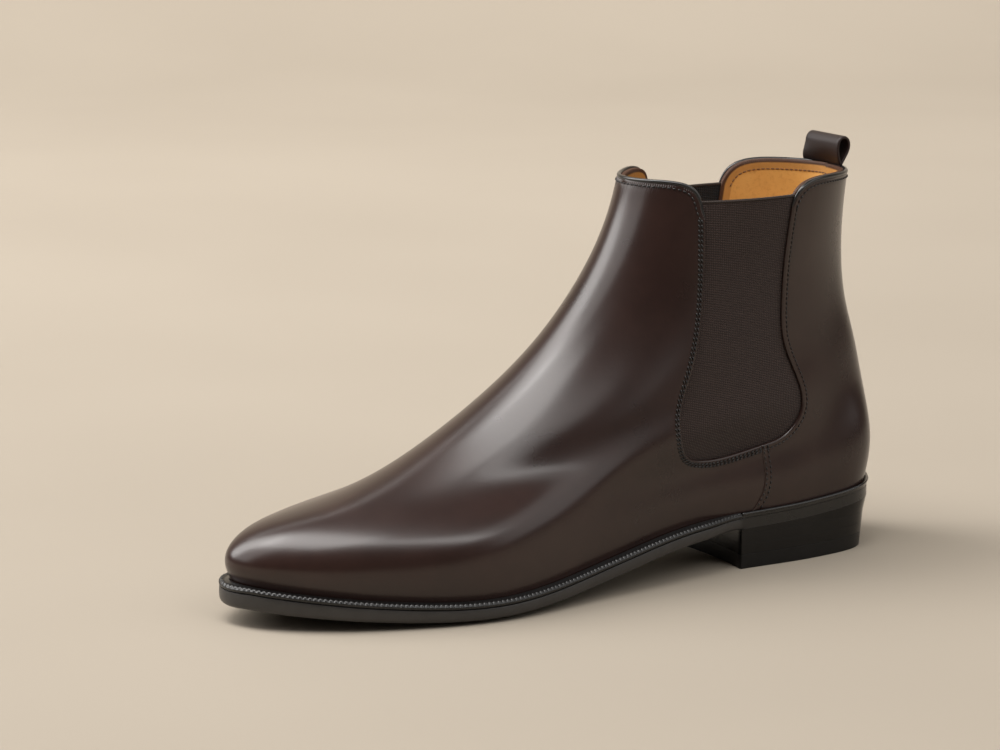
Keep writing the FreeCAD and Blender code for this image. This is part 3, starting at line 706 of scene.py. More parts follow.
class Nodes:
    """A material's node tree with short calls for the nodes used here."""

    def __init__(self, name):
        self.material = bpy.data.materials.new(name)
        self.material.use_nodes = True
        self.tree = self.material.node_tree
        self.shader = self.tree.nodes["Principled BSDF"]
        self.place = self.tree.nodes.new("ShaderNodeTexCoord").outputs["Object"]

    def put(self, value, socket):
        """Link an output to a socket, or set the socket's constant."""
        if isinstance(value, bpy.types.NodeSocket):
            self.tree.links.new(value, socket)
        else:
            socket.default_value = value

    def set(self, **values):
        """Constants on the shader's own sockets."""
        for key, value in values.items():
            self.shader.inputs[key.replace("_", " ").title().replace("Ior", "IOR")].default_value = value

    def node(self, kind, output, inputs, **settings):
        """One output of a new node with these settings and inputs."""
        node = self.tree.nodes.new("ShaderNode" + kind)
        for key, value in settings.items():
            setattr(node, key, value)
        for key, value in inputs.items():
            self.put(value, node.inputs[key])
        return node.outputs[output]

    def noise(self, scale, detail=3.0, roughness=0.6, stretch=None):
        inputs = {"Scale": scale, "Detail": detail, "Roughness": roughness, "Vector": self.place}
        if stretch:
            inputs["Vector"] = self.node("Mapping", "Vector", {"Scale": stretch, "Vector": self.place})
        return self.node("TexNoise", "Fac", inputs)

    def cells(self, scale):
        return self.node("TexVoronoi", "Distance", {"Scale": scale, "Vector": self.place})

    def wave(self, scale, direction, distortion):
        inputs = {"Scale": scale, "Distortion": distortion, "Detail": 1.0, "Detail Scale": 1.5}
        return self.node("TexWave", "Fac", {"Vector": self.place, **inputs}, bands_direction=direction)

    def along(self, axis):
        return self.node("SeparateXYZ", axis, {"Vector": self.place})

    def attribute(self, name):
        return self.node("Attribute", "Fac", {}, attribute_name=name)

    def range(self, value, low=0.3, high=0.7, to_low=0.0, to_high=1.0):
        ends = {"From Min": low, "From Max": high, "To Min": to_low, "To Max": to_high}
        return self.node("MapRange", "Result", {"Value": value, **ends})

    def between(self, value, middle, below, above):
        """Range that varies a little about a middle value."""
        return self.range(value, 0.3, 0.7, middle - below, middle + above)

    def math(self, operation, a, b):
        return self.node("Math", "Value", {0: a, 1: b}, operation=operation)

    def mix(self, factor, a, b):
        """Mix of two colours, each an output or a colour from 0 to 255."""
        a, b = [rgb(*c) if isinstance(c, tuple) else c for c in (a, b)]
        return self.node("Mix", "Result", {"Factor": factor, "A": a, "B": b}, data_type="RGBA")

    def bump(self, height, strength, distance, base=None):
        inputs = {"Strength": strength, "Distance": distance, "Height": height}
        if base is not None:
            inputs["Normal"] = base
        return self.node("Bump", "Normal", inputs)

    def finish(self, color, roughness, normal=None):
        self.put(color, self.shader.inputs["Base Color"])
        self.put(roughness, self.shader.inputs["Roughness"])
        if normal is not None:
            self.put(normal, self.shader.inputs["Normal"])
        return self.material


def rgb(red, green, blue):
    """Colour from 0 to 255 as seen, in the linear values that the shader takes."""
    parts = [c / 255 for c in (red, green, blue)]
    return (*(c / 12.92 if c <= 0.04 else ((c + 0.055) / 1.055) ** 2.4 for c in parts), 1.0)


def calf_leather(name, dark, light, roughness, coat):
    """Smooth dyed calf: slow change of tone, fine pores and a soft polish."""
    n = Nodes(name)
    tone = n.noise(22.0, 4.0)
    color = n.mix(n.range(tone), dark, light)
    color = n.mix(n.range(n.noise(160.0), 0.35, 0.75, 0.0, 0.35), color, dark)
    normal = n.bump(n.noise(1000.0, 4.0), 0.05, 0.0004)
    normal = n.bump(n.cells(1500.0), 0.02, 0.0003, normal)
    n.set(coat_weight=coat, coat_roughness=0.22, specular_ior_level=0.38)
    return n.finish(color, n.between(tone, roughness, 0.015, 0.02), normal)


def leather_layers(n, strength):
    """Faint layers on the cut edge of leather."""
    return n.bump(n.noise(500.0, stretch=(0.2, 0.2, 2.0)), strength, 0.0002)


def edge_ink(name, shade, roughness, coat, layered=0.03, specular=0.45):
    """Black waxed leather edge, with the faint layers of the leather showing through."""
    n = Nodes(name)
    cloud = n.noise(220.0, 4.0, 0.65)
    color = n.mix(n.range(cloud), shade, tuple(c + 8 for c in shade))
    n.set(coat_weight=coat, coat_roughness=0.25, specular_ior_level=specular)
    return n.finish(color, n.between(cloud, roughness, 0.03, 0.04), leather_layers(n, layered))


def sole_ink(name):
    """Satin waxed sole edge that turns to polished black round the heel."""
    n = Nodes(name)
    cloud = n.noise(180.0, 4.0)
    heel = n.range(n.along("Y"), (BREAST_Y - 1) * MM, (BREAST_Y + 1) * MM)
    color = n.mix(heel, n.mix(n.range(cloud), (40, 38, 37), (48, 46, 45)), (9, 8, 8))
    rough = n.math("SUBTRACT", n.range(cloud, 0.3, 0.7, 0.4, 0.46), n.math("MULTIPLY", heel, 0.14))
    n.set(coat_weight=0.2, coat_roughness=0.3, specular_ior_level=0.5)
    return n.finish(color, rough, leather_layers(n, 0.05))


def woven_elastic(name):
    """Fine ribbed elastic: level weft threads over upright cords, and a near black inner face."""
    n = Nodes(name)
    cord = n.range(n.wave(330.0, "Y", 0.3), 0.0, 1.0, 0.45, 1.0)
    weave = n.math("MULTIPLY", n.wave(440.0, "Z", 0.6), cord)
    cloud = n.noise(900.0, 3.0, 0.7)
    color = n.mix(n.range(weave, 0.1, 0.9), (26, 17, 15), (74, 55, 47))
    color = n.mix(n.range(cloud, 0.35, 0.7, 0.0, 0.5), color, (38, 27, 24))
    color = n.mix(n.attribute("inner"), color, (13, 11, 11))
    normal = n.bump(cloud, 0.2, 0.0002, n.bump(weave, 0.7, 0.0004))
    n.set(specular_ior_level=0.25, sheen_weight=0.15, sheen_roughness=0.5)
    return n.finish(color, n.range(cloud, 0.3, 0.7, 0.62, 0.78), normal)


def lining_leather(name):
    """Tan lining, darker above its stitching and with a dark bound edge along its top."""
    n = Nodes(name)
    fleck = n.noise(600.0, 4.0, 0.7)
    edge = n.attribute("edge")
    color = n.mix(n.range(n.noise(35.0, 4.0)), (206, 147, 72), (228, 174, 98))
    color = n.mix(n.range(fleck, 0.5, 0.75, 0.0, 0.35), color, (160, 106, 46))
    color = n.mix(n.range(edge, 4.6, 5.2, 0.55, 0.0), color, (150, 100, 48))
    color = n.mix(n.range(edge, 1.3, 1.9, 1.0, 0.0), color, (70, 42, 24))
    n.set(specular_ior_level=0.35)
    return n.finish(color, n.range(fleck, 0.3, 0.7, 0.5, 0.65), n.bump(fleck, 0.15, 0.0003))


def thread(name, shade, gloss):
    """Twisted waxed thread."""
    n = Nodes(name)
    twist = n.noise(2500.0)
    color = n.mix(n.range(twist, 0.35, 0.65), shade, tuple(c + 26 for c in shade))
    n.set(specular_ior_level=0.5)
    return n.finish(color, n.between(twist, gloss, 0.06, 0.1), n.bump(twist, 0.3, 0.0002))


def plain_leather(name, dark, light, roughness):
    """Undyed or matt vegetable leather with visible fibre."""
    n = Nodes(name)
    fibre = n.noise(1200.0, 4.0, 0.7)
    color = n.mix(n.range(n.noise(50.0, 4.0, 0.65)), dark, light)
    color = n.mix(n.range(fibre, 0.45, 0.75, 0.0, 0.3), color, dark)
    n.set(specular_ior_level=0.35)
    return n.finish(color, n.between(fibre, roughness, 0.06, 0.08), n.bump(fibre, 0.2, 0.0003))


def cloth(name, dark, light):
    """Plain woven cotton."""
    n = Nodes(name)
    weave = n.math("MULTIPLY", n.wave(500.0, "Y", 0.4), n.wave(500.0, "Z", 0.4))
    n.set(specular_ior_level=0.2)
    rough = n.range(weave, 0.0, 1.0, 0.75, 0.9)
    return n.finish(n.mix(weave, dark, light), rough, n.bump(weave, 0.5, 0.0003))


def rubber(name):
    """Hard black heel rubber with a fine pebble."""
    n = Nodes(name)
    cloud = n.noise(150.0)
    n.set(specular_ior_level=0.3)
    color = n.mix(n.range(cloud), (12, 12, 12), (18, 17, 17))
    return n.finish(color, n.range(cloud, 0.3, 0.7, 0.34, 0.42), n.bump(n.cells(900.0), 0.06, 0.0002))


def cork(name):
    """Granulated cork."""
    n = Nodes(name)
    grains = n.cells(450.0)
    fine = n.noise(1400.0)
    color = n.mix(n.range(grains, 0.1, 0.7), (120, 78, 44), (196, 146, 92))
    color = n.mix(n.range(fine, 0.5, 0.7, 0.0, 0.4), color, (80, 50, 30))
    return n.finish(color, n.range(fine, 0.3, 0.7, 0.8, 0.92), n.bump(grains, 0.4, 0.0005))


def metal(name, dark, light, roughness):
    """Bare metal with fine drawing marks."""
    n = Nodes(name)
    marks = n.noise(500.0, 4.0, 0.7, (1.0, 0.08, 1.0))
    n.set(metallic=1.0)
    color = n.mix(n.range(marks), dark, light)
    return n.finish(color, n.between(marks, roughness, 0.08, 0.1), n.bump(marks, 0.1, 0.0002))


upper = calf_leather("upper_calf", (36, 21, 17), (48, 30, 25), 0.28, 0.35)
tab_leather = calf_leather("tab_calf", (26, 15, 13), (42, 26, 22), 0.5, 0.05)
piping_ink = edge_ink("piping_black", (12, 10, 10), 0.3, 0.4)
welt_ink = edge_ink("welt_black", (14, 13, 13), 0.36, 0.15)
rand_ink = edge_ink("rand_black", (10, 9, 9), 0.22, 0.5)
heel_ink = edge_ink("heel_black", (7, 6, 6), 0.2, 0.15, 0.02, 0.25)
# The elastic's top edge colour is partly its own lighter woven selvedge and partly a painted highlight line
# along the top.
selvedge_and_painted_highlight = cloth("elastic_selvedge_painted_highlight", (44, 37, 34), (86, 77, 72))
lining_tan = lining_leather("lining_tan")
dark_thread = thread("thread_black", (10, 8, 8), 0.4)
tan_thread = thread("thread_brown", (92, 56, 26), 0.55)
cotton = cloth("backing_cotton", (150, 140, 122), (206, 198, 180))
stiffener = plain_leather("stiffener", (150, 122, 92), (186, 158, 124), 0.75)

# ---- the upper ----

FOLD = 0.75
SEAM_LAP = 0.35
SEAM_LAP_WIDTH = 12.0
EDGE_RINGS = [0.12, 0.35, 0.75, 1.2, 1.6, 2.0, 2.5, 3.1, 4.2]


def rounded(distance, radius):
    """Depth of a rounded edge below the face."""
    t = np.clip(1 - distance / radius, 0, 1)
    return radius * (1 - np.sqrt(np.maximum(1 - t * t, 0)))


def groove(distance, centre, width, depth):
    return depth * np.exp(-((distance - centre) / width) ** 2)


def folded(distance, kind, channel):
    """Depth of a folded gusset edge and a top edge, each with its stitch channel."""
    depth = np.where(kind == 2, rounded(distance, FOLD) + groove(distance, *channel), 0.0)
    return np.where(kind == 3, rounded(distance, 0.4) + groove(distance, 2.1, 0.5, 0.1), depth)


def front_outer(distance, kind, place):
    """Face of the front panel, which passes under the quarter at its seam."""
    return np.where(kind == 1, 0.0, folded(distance, kind, (1.9, 0.9, 0.16)))


def quarter_outer(distance, kind, place):
    """Face of a quarter: lapped over the vamp at its seam, with a closed seam at the back."""
    lap = SEAM_LAP * np.clip(1 - distance / SEAM_LAP_WIDTH, 0, 1) ** 2
    depth = np.where(kind == 1, rounded(distance, 0.45) - lap, folded(distance, kind, (2.2, 0.5, 0.1)))
    return np.where(kind == 4, rounded(distance, 0.35), depth)


def leather_inner(distance, kind, place):
    return LEATHER - np.where(kind == 2, rounded(distance, 0.3), 0.0)


def flat_at(depth):
    """Face at one depth all over."""
    return lambda distance, kind, place: depth


runs = front_panel_runs(TOP_DROP, FLOOR_LEVEL)
vamp = panel("vamp_and_shaft_front", runs, EDGE_RINGS, front_outer, leather_inner)
dress(vamp, upper, ("vamp", "vamp_instep_crease", "shaft_front"), blend_front)

for side, side_name in SIDES:
    runs = quarter_runs(side, TOP_DROP, FLOOR_LEVEL)
    piece = panel("quarter_panel_" + side_name, runs, EDGE_RINGS, quarter_outer, leather_inner)
    dress(piece, upper, ("quarter_" + side_name,), "boot")

# ---- lining and backing ----

TOP_FLARE = 1.0


def lining_outer(distance, kind, place):
    """Back of the lining, which fills the wall along the top line except where the pull tab comes through."""
    middle = TAB_FROM_X + TAB_WIDTH / 2
    beside_tab = np.clip((abs(place[:, 0] - middle) - TAB_WIDTH / 2 - 0.6) / 0.8, 0, 1)
    beside_tab = np.where(place[:, 1] < 110, 1.0, beside_tab)
    flare = np.where(kind == 3, TOP_FLARE * np.clip(2.2 - distance, 0, 1), 0.0) * beside_tab
    return LINING_DEPTH - flare


def lining_inner(distance, kind, place):
    """Face of the lining towards the foot, with a rounded top edge and a stitch channel."""
    depth = INSIDE_DEPTH - np.where(kind == 3, rounded(distance, 0.5) + groove(distance, 4.4, 0.5, 0.1), 0.0)
    return depth - np.where(kind == 2, rounded(distance, 0.3), 0.0)


LINING_RINGS = [0.15, 0.5, 1.2, 2.2, 3.2, 4.4, 5.4]
LINING_FLOOR = -0.012
BACKING_FLOOR = 0.004
BACKING_TOP = [(0.0, 158.0), (30.0, 158.0), (70.0, 158.0)]

for name, runs, lattice, nodes, move in (
    ("front_lining", front_panel_runs(LINING_DROP, LINING_FLOOR), 3.0,
     ("vamp_lining", "instep_lining_crease", "shaft_front_lining"), blend_front),
    ("quarter_lining_panel", whole_quarter_runs(LINING_DROP, LINING_FLOOR), 2.6, ("quarter_lining",), "boot"),
):
    piece = panel(name, runs, LINING_RINGS, lining_outer, lining_inner, lattice)
    dress(piece, lining_tan, nodes, move)

runs = front_panel_runs(0.0, BACKING_FLOOR, BACKING_TOP, GUSSET_ALLOWANCE + 0.5, -0.5)
faces = flat_at(INTER_DEPTH + 0.1), flat_at(INTER_DEPTH + INTERLAYER - 0.1)
backing = panel("front_backing_cloth", runs, [], *faces, 5.0)
dress(backing, cotton, ("vamp_backing_cloth", "shaft_front_backing_cloth"), blend_front)

# ---- gussets ----

elastic = woven_elastic("gusset_elastic")
STRETCH = {1: (92.5, 53.0), -1: (97.0, 58.0)}      # y of each gusset's fixed edge and moving edge


def stretch(side):
    """Bake the elastic's place into its mesh; its points are not moved."""
    return lambda piece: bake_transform(piece)


for side, side_name in SIDES:
    faces = flat_at(INTER_DEPTH), flat_at(INTER_DEPTH + INTERLAYER)
    piece = panel("elastic_" + side_name, gusset_runs(side), [0.5], *faces, 2.4)
    dress(piece, elastic, ("gusset_" + side_name,), stretch(side))
    top = level_run(side, STRETCH[side][0] + 9, STRETCH[side][1] - 4, 60)
    _, outward, along, _ = path_frame(top)
    sides = (outward, np.cross(along, outward))
    edge = sweep("elastic_top_edge_" + side_name, inset(*top.T, WALL_MIDDLE), sides, circle(0.78, 12, 0.85))
    # The edge's lighter colour is partly a painted highlight line.
    dress(edge, selvedge_and_painted_highlight, (), stretch(side))

# ---- piping along the top lines ----


def piping(name, path):
    """Rounded bead on the edge of the leather, thinned out towards its ends."""
    points, outward, _, left = path_frame(path)
    middle = inset(*path.T, LEATHER / 2)
    run_in = run_length(points)
    to_end = np.minimum(run_in, run_in[-1] - run_in)
    size = (0.3 + 0.7 * np.clip(to_end / PIPING_TAPER, 0, 1) ** 0.7)[:, None]
    return sweep(name, middle, (outward * size, left * size), circle(PIPING, 14))


dress(piping("front_top_piping", top_path(FRONT_TOP, PIPING)), piping_ink,
      ("shaft_front_top_binding",), "shaft_front_panel")
dress(piping("rear_top_piping", top_path(REAR_TOP, PIPING)), piping_ink,
      ("quarter_top_binding",), "boot")

# ---- stitching ----

gusset_rows = []
rear_rows = []
seam_rows = []
for side, _ in SIDES:
    edge = panel_edges(side, FRONT_TOP, TOP_DROP)[1]
    gusset_rows += [(offset_path(edge, side * distance), 0.1) for distance in (1.35, 2.5)]
    seam, edge, _ = panel_edges(side, REAR_TOP, TOP_DROP)
    rear_rows.append((offset_path(edge, side * -2.2), 0.05))
    seam = seam[seam[:, 1] > 0.01]
    seam_rows += [(offset_path(seam, side * -distance), -0.15) for distance in (0.9, 3.0)]
front_row = [(offset_path(top_path(FRONT_TOP, TOP_DROP), 2.1), 0.0)]
rear_row = [(offset_path(top_path(REAR_TOP, TOP_DROP), -2.1), 0.0)]
front_inside = [(offset_path(top_path(FRONT_TOP, LINING_DROP), 4.4), INSIDE_DEPTH - 0.05)]
rear_inside = [(offset_path(top_path(REAR_TOP, LINING_DROP), -4.4), INSIDE_DEPTH - 0.05)]

# name, rows, (pitch, length, radius, slant in degrees), what it moves with
for name, rows, shape, move in (
    ("gusset_front_stitches", gusset_rows, (2.0, 1.9, 0.4, 28.0), blend_front),
    ("gusset_rear_stitches", rear_rows, (2.0, 1.6, 0.25), "boot"),
    ("front_top_stitches", front_row, (2.2, 1.6, 0.32), blend_front),
    ("rear_top_stitches", rear_row, (2.2, 1.6, 0.32), "boot"),
    ("quarter_seam_stitches", seam_rows, (2.2, 1.6, 0.3), "boot"),
    ("front_lining_stitches", front_inside, (2.2, 1.6, 0.24), blend_front),
    ("rear_lining_stitches", rear_inside, (2.2, 1.6, 0.24), "boot"),
):
    inside = "lining" in name
    dress(stitches(name, rows, *shape), tan_thread if inside else dark_thread,
          (), move)

# ---- pull tab ----


def tab_line():
    """Side view centre line of the strap, and how thick it is: out of the wall, round the loop and back."""
    at_foot, at_knee, at_top = TAB_HALVES
    angle = math.radians(TAB_LEAN)
    points = []
    for i in range(TAB_STEPS + 1):
        turn = 2 * math.pi * i / TAB_STEPS
        up = (TAB_HEIGHT - TAB_THICKNESS) / 2 * (1 - math.cos(turn))
        across = (TAB_DEPTH - TAB_THICKNESS) / 2 * math.sin(turn) * math.sin(turn / 2) / TEARDROP_PEAK
        across += math.copysign(TAB_PARTING, 0.5 - i / TAB_STEPS) * (1 - math.sin(turn / 2)) ** 2
        points.append((TAB_AXIS[0] + up * math.sin(angle) + across * math.cos(angle),
                       TAB_AXIS[1] + up * math.cos(angle) - across * math.sin(angle),
                       at_top if i in (0, TAB_STEPS) else TAB_THICKNESS / 2))
    ends = []
    for y in (points[0][0], points[-1][0]):
        ends.append([(y, TAB_AXIS[1] - TAB_ROOT, at_foot), (y, TAB_AXIS[1] - TAB_KNEE, at_knee)])
    return np.array(ends[0] + points + ends[1][::-1])


def pull_tab():
    rows = tab_line()
    line = rows[:, :2]
    along = unit(np.gradient(line, axis=0))
    half = TAB_WIDTH / 2
    corner = [(-half, -0.35), (-half + 0.18, -0.8), (-half + 0.6, -1.0)]
    lower = corner + [(x, -1.0) for x in np.linspace(-half + 1.6, half - 1.6, 12)]
    lower += [(-x, t) for x, t in corner[::-1]]
    section = np.array(lower + [(x, -t) for x, t in lower[::-1]])
    zero = np.zeros(len(line))
    centres = np.stack([zero + TAB_FROM_X + half, line[:, 0], line[:, 1]], 1)
    first = np.tile([1.0, 0.0, 0.0], (len(line), 1))
    second = np.stack([zero, -along[:, 1], along[:, 0]], 1) * rows[:, 2:3]
    strap = sweep("pull_tab_strap", centres, (first, second), section)
    follow_wall(strap)
    return strap


def follow_wall(strap):
    """Bend the foot of the strap to the round of the back; it straightens towards the fold."""
    wall = inset(np.linspace(math.pi + 1.2, math.pi - 1.2, 200), TAB_LEVEL, WALL_MIDDLE)
    for vertex in strap.data.vertices:
        x, _, z = vertex.co / MM
        bend = TAB_ROUND * (float(np.interp(x, wall[:, 0], wall[:, 1])) - TAB_AXIS[0])
        vertex.co.y += bend * (1 - float(ease((z - TAB_AXIS[1]) / TAB_STRAIGHT))) * MM


def bend_tab(strap):
    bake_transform(strap)


dress(pull_tab(), tab_leather, ("pull_tab",), bend_tab)

# ---- welt, sole and heel ----


def narrowed(y, seat_width):
    """How far the edge stands out from the feather line: less from the waist back to the heel."""
    return WELT_WIDTH + (seat_width - WELT_WIDTH) * ease((y - WAIST_Y) / (BREAST_Y - WAIST_Y))


def welt_edge(y):
    return narrowed(y, SEAT_WIDTH)


def plan_frame(angles):
    """Feather line in plan with its outward directions."""
    along = surface(angles + 1e-3, 0.0) - surface(angles - 1e-3, 0.0)
    return surface(angles, 0.0), unit(np.stack([along[:, 1], -along[:, 0], np.zeros(len(angles))], 1))


def even_angles(first, last, step):
    """Angles at even distances along the feather line, and the distances."""
    fine = np.linspace(first, last, 6000)
    along = run_length(surface(fine, 0.0)[:, :2])
    marks = np.linspace(0, along[-1], int(along[-1] / step) + 1)
    return np.interp(marks, along, fine), marks


def breast_angle(side):
    fine = np.linspace(0.5, math.pi, 4000)
    return side * np.interp(BREAST_Y, surface(side * fine, 0.0)[:, 1], fine)


def edge_strip(name, angles, profile, ripple=0.0):
    """Strip around the sole: profile rows are (share of width, extra, height below feather, ripple share)."""
    points, outward = plan_frame(angles)
    rows = []
    for share, extra, height, rippled in profile:
        reach = GAP + share * (welt_edge(points[:, 1]) - GAP) + extra
        place = points + outward * reach[:, None]
        place[:, 2] = feather(place[:, 1]) + height - ripple * rippled
        rows.append(place)
    grid = np.stack(rows, 1)
    return fix_normals(add_mesh(name, grid.reshape(-1, 3), tube_faces(len(angles), len(profile))))


FUDGE_PITCH = 1.95
FUDGE_DEPTH = 0.48
WELT_PROFILE = [
    (0.0, 0.0, -0.05, 0), (0.22, 0.0, -0.12, 0), (0.4, 0.0, -0.5, 0), (0.5, 0.0, -0.45, 0.1),
    (0.6, 0.0, -0.1, 0.6), (0.7, 0.0, 0.0, 0.8), (0.82, 0.0, -0.04, 1.0), (0.92, 0.0, -0.3, 1.0),
    (0.98, 0.0, -0.75, 0.8), (1.0, 0.0, -1.0, 0.2), (1.0, 0.12, -1.15, 0), (1.0, 0.16, -1.45, 0),
    (1.0, 0.05, -1.85, 0), (0.96, 0.0, -2.2, 0), (0.9, 0.0, -2.4, 0), (0.0, 0.0, -2.4, 0),
]
angles, marks = even_angles(breast_angle(-1), breast_angle(1), 0.3)
teeth = FUDGE_DEPTH * (0.5 + 0.5 * np.cos(2 * math.pi * marks / FUDGE_PITCH)) ** 3
welt = edge_strip("welt_strip", angles, WELT_PROFILE, teeth)
dress(welt, welt_ink, ("welt",), "boot")

RAND_PROFILE = [
    (0.0, 0.0, -0.05, 0), (0.5, 0.0, -0.05, 0), (0.85, 0.0, -0.1, 0), (1.0, 0.1, -0.3, 0),
    (1.0, 0.2, -0.6, 0), (1.0, 0.1, -0.95, 0), (0.8, 0.0, -1.2, 0), (0.66, 0.0, -1.3, 0),
    (0.66, 0.0, -1.9, 0), (0.66, 0.0, -2.4, 0), (0.0, 0.0, -2.4, 0),
]
angles, _ = even_angles(breast_angle(1) + 0.002, 2 * math.pi + breast_angle(-1) - 0.002, 1.0)
rand = edge_strip("heel_seat_rand_strip", angles, RAND_PROFILE)
dress(rand, rand_ink, ("heel_seat_rand",), "boot")

SHARP_ANGLE = math.radians(30.0)    # faces that meet at more than this are shaded apart
CROWN = float(min(feather(np.arange(-140, 60, 1.0))) + SOLE_LOW)


def sole_bottom(x, y):
    """Height of the sole's underside, which bulges down under the ball."""
    fade = ease((BREAST_Y - CROWN_BEFORE - y) / CROWN_FADE)
    return feather(y) + SOLE_LOW - CROWN * fade * (1 - (x / CROWN_WIDTH) ** 2)


def lattice_inside(loop, step, clearance):
    """Evenly spaced plan points inside a loop, clear of its edge."""
    low = loop.min(0)
    high = loop.max(0)
    xs = np.arange(low[0], high[0], step)
    grid = np.array([(x, y) for y in np.arange(low[1], high[1], step) for x in xs])
    grid = grid[inside_polygon(grid, loop)]
    gaps = np.array([np.min(np.hypot(*(loop - p).T)) for p in grid])
    return grid[gaps > clearance]


def stack_solid(name, loops, top_height, bottom_height, step=4.0):
    """Closed solid from loops (top to bottom) of equal length, with filled top and bottom."""
    count = len(loops[0])
    points = [np.array(loop) for loop in loops]
    faces = tube_faces(len(loops), count)[:-2]
    total = count * len(loops)
    for loop, height, first in ((loops[0], top_height, 0), (loops[-1], bottom_height, total - count)):
        outline = np.array(loop)[:, :2]
        flat, triangles = triangulate(outline, lattice_inside(outline, step, step * 0.6))
        number = []
        extra = []
        for p in flat:
            gaps = np.hypot(*(outline - p).T)
            if gaps.min() < 1e-3:
                number.append(first + int(gaps.argmin()))
            else:
                number.append(total + len(extra))
                extra.append((p[0], p[1], float(height(p[0], p[1]))))
        total += len(extra)
        points.append(np.array(extra))
        faces += [tuple(number[k] for k in t) for t in triangles]
    solid = fix_normals(add_mesh(name, np.vstack(points), faces))
    solid.data.set_sharp_from_angle(angle=SHARP_ANGLE)
    return solid


SOLE_PROFILE = [
    (0.5, 0.0), (0.12, 0.12), (0.0, 0.45), (-0.06, 1.6), (-0.04, 2.8), (0.12, 3.6), (0.45, 4.2), (1.1, 4.6),
]


def sole_loops():
    """Outlines of the outsole from its top down, rounded before the heel and straight round it."""
    points, outward = plan_frame(even_angles(0, 2 * math.pi, 1.5)[0][:-1])
    before_heel = np.clip((BREAST_Y + 1.5 - points[:, 1]) / 3.0, 0, 1)
    edge = narrowed(points[:, 1], SEAT_WIDTH - HEEL_INSET)
    loops = []
    for back, depth in SOLE_PROFILE:
        loop = points + outward * (edge - back * before_heel)[:, None]
        low = sole_bottom(loop[:, 0], loop[:, 1])
        high = feather(loop[:, 1]) + SOLE_HIGH
        loop[:, 2] = low + (high - low) * (1 - depth / OUTSOLE_THICKNESS)
        loops.append(loop)
    return loops


outsole = stack_solid("outsole_slab", sole_loops(), lambda x, y: feather(y) + SOLE_HIGH, sole_bottom)
dress(outsole, sole_ink("sole_edge_black"), ("outsole",), "boot")


def heel_outline(z, back):
    """Outline of the heel at one height, moved inwards by back, from its lateral breast corner round."""
    fine = np.linspace(1.2, 2 * math.pi - 1.2, 900)
    points, outward = plan_frame(fine)
    taper = HEEL_TAPER * ease((points[:, 1] - HEEL_TAPER_FROM) / HEEL_TAPER_RUN)
    reach = SEAT_WIDTH - HEEL_INSET - taper * (1 - min(z / HEEL_TAPER_TOP, 1.0)) - back
    outline = (points + outward * reach[:, None])[:, :2]
    hollow = BREAST_Y - BREAST_RADIUS + BREAST_HOLLOW
    breast = hollow + np.sqrt(np.maximum(BREAST_RADIUS ** 2 - outline[:, 0] ** 2, 0))
    behind = np.nonzero(outline[:, 1] > np.maximum(BREAST_Y, breast) + back)[0]
    wall = outline[behind[0]:behind[-1] + 1]
    along = run_length(wall)
    marks = np.linspace(0, along[-1], 150)
    wall = np.stack([np.interp(marks, along, wall[:, 0]), np.interp(marks, along, wall[:, 1])], 1)
    xs = np.linspace(wall[-1][0], wall[0][0], 42)[1:-1]
    front = np.stack([xs, hollow + np.sqrt(BREAST_RADIUS ** 2 - xs ** 2) + back], 1)
    front[:, 1] = np.maximum(front[:, 1], BREAST_Y + back)
    return np.vstack([wall, front])


def heel_piece(name, low, high, bevel):
    """One lift of the heel from a level underside; high is a height or a function of the plan position."""
    top = high if callable(high) else (lambda x, y: high)
    wide = HEEL_TAPER_TOP if callable(high) else high
    loops = []
    for back, level, drop in ((bevel, wide, 0.0), (0.0, wide, bevel), (0.0, low, -bevel), (bevel, low, 0.0)):
        outline = heel_outline(level, back)
        z = low if level == low else top(outline[:, 0], outline[:, 1])
        loops.append(np.column_stack([outline, np.zeros(len(outline)) + z - drop]))
    return stack_solid(name, loops, top, lambda x, y: low)


low = 0.0
for node, height, material, slot_name, bevel in (
    ("heel_top_piece", TOP_PIECE_HEIGHT + GAP, rubber("heel_rubber"), "top_piece_rubber", 0.12),
    ("heel_lift_1", LIFT_HEIGHT + GAP, heel_ink, "heel_leather", 0.03),
    ("heel_lift_2", LIFT_HEIGHT + GAP, heel_ink, "heel_leather", 0.03),
    ("heel_seat_lift", None, heel_ink, "heel_leather", 0.03),
):
    high = low + height if height else (lambda x, y: feather(y) + SOLE_LOW)
    dress(heel_piece(node + "_block", low, high, bevel), material, (node,), "boot")
    low = high

# ---- finish of the parts that keep their CAD shape ----

KEPT = {
    "pull_tab_sewn_ends": tab_leather,
    "toe_puff": stiffener,
    "heel_counter": stiffener,
    "quarter_backing_cloth": cotton,
    "insole": plain_leather("insole_tan", (176, 132, 88), (206, 164, 118), 0.7),
    "sock_liner": plain_leather("sock_tan", (170, 118, 58), (206, 152, 86), 0.55),
    "insole_rib": cloth("rib_cotton", (170, 160, 140), (220, 212, 196)),
    "shank": metal("shank_steel", (120, 122, 126), (176, 178, 182), 0.35),
    "cork_filler": cork("cork_filling"),
    "heel_nails": metal("nail_steel", (110, 110, 112), (170, 170, 172), 0.4),
    "top_piece_pins": metal("pin_brass", (150, 112, 52), (200, 160, 84), 0.35),
}
for node, material in KEPT.items():
    assign(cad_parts[node], material)

# ---- floor, light and camera ----

CAMERA_AZIMUTH = 58.0
CAMERA_ELEVATION = 11.7
CAMERA_DISTANCE = 1.5
CAMERA_LENS = 131.5
CAMERA_AIM = (-0.0229, 0.005, 0.08)
LIGHT_DISTANCE = 2.4
LIGHT_TARGET = (0, 0, 0.08)
FLOOR_REACH = 1.6           # metres behind the boot at which the floor starts to curve up
WALL_CURVE = 0.8


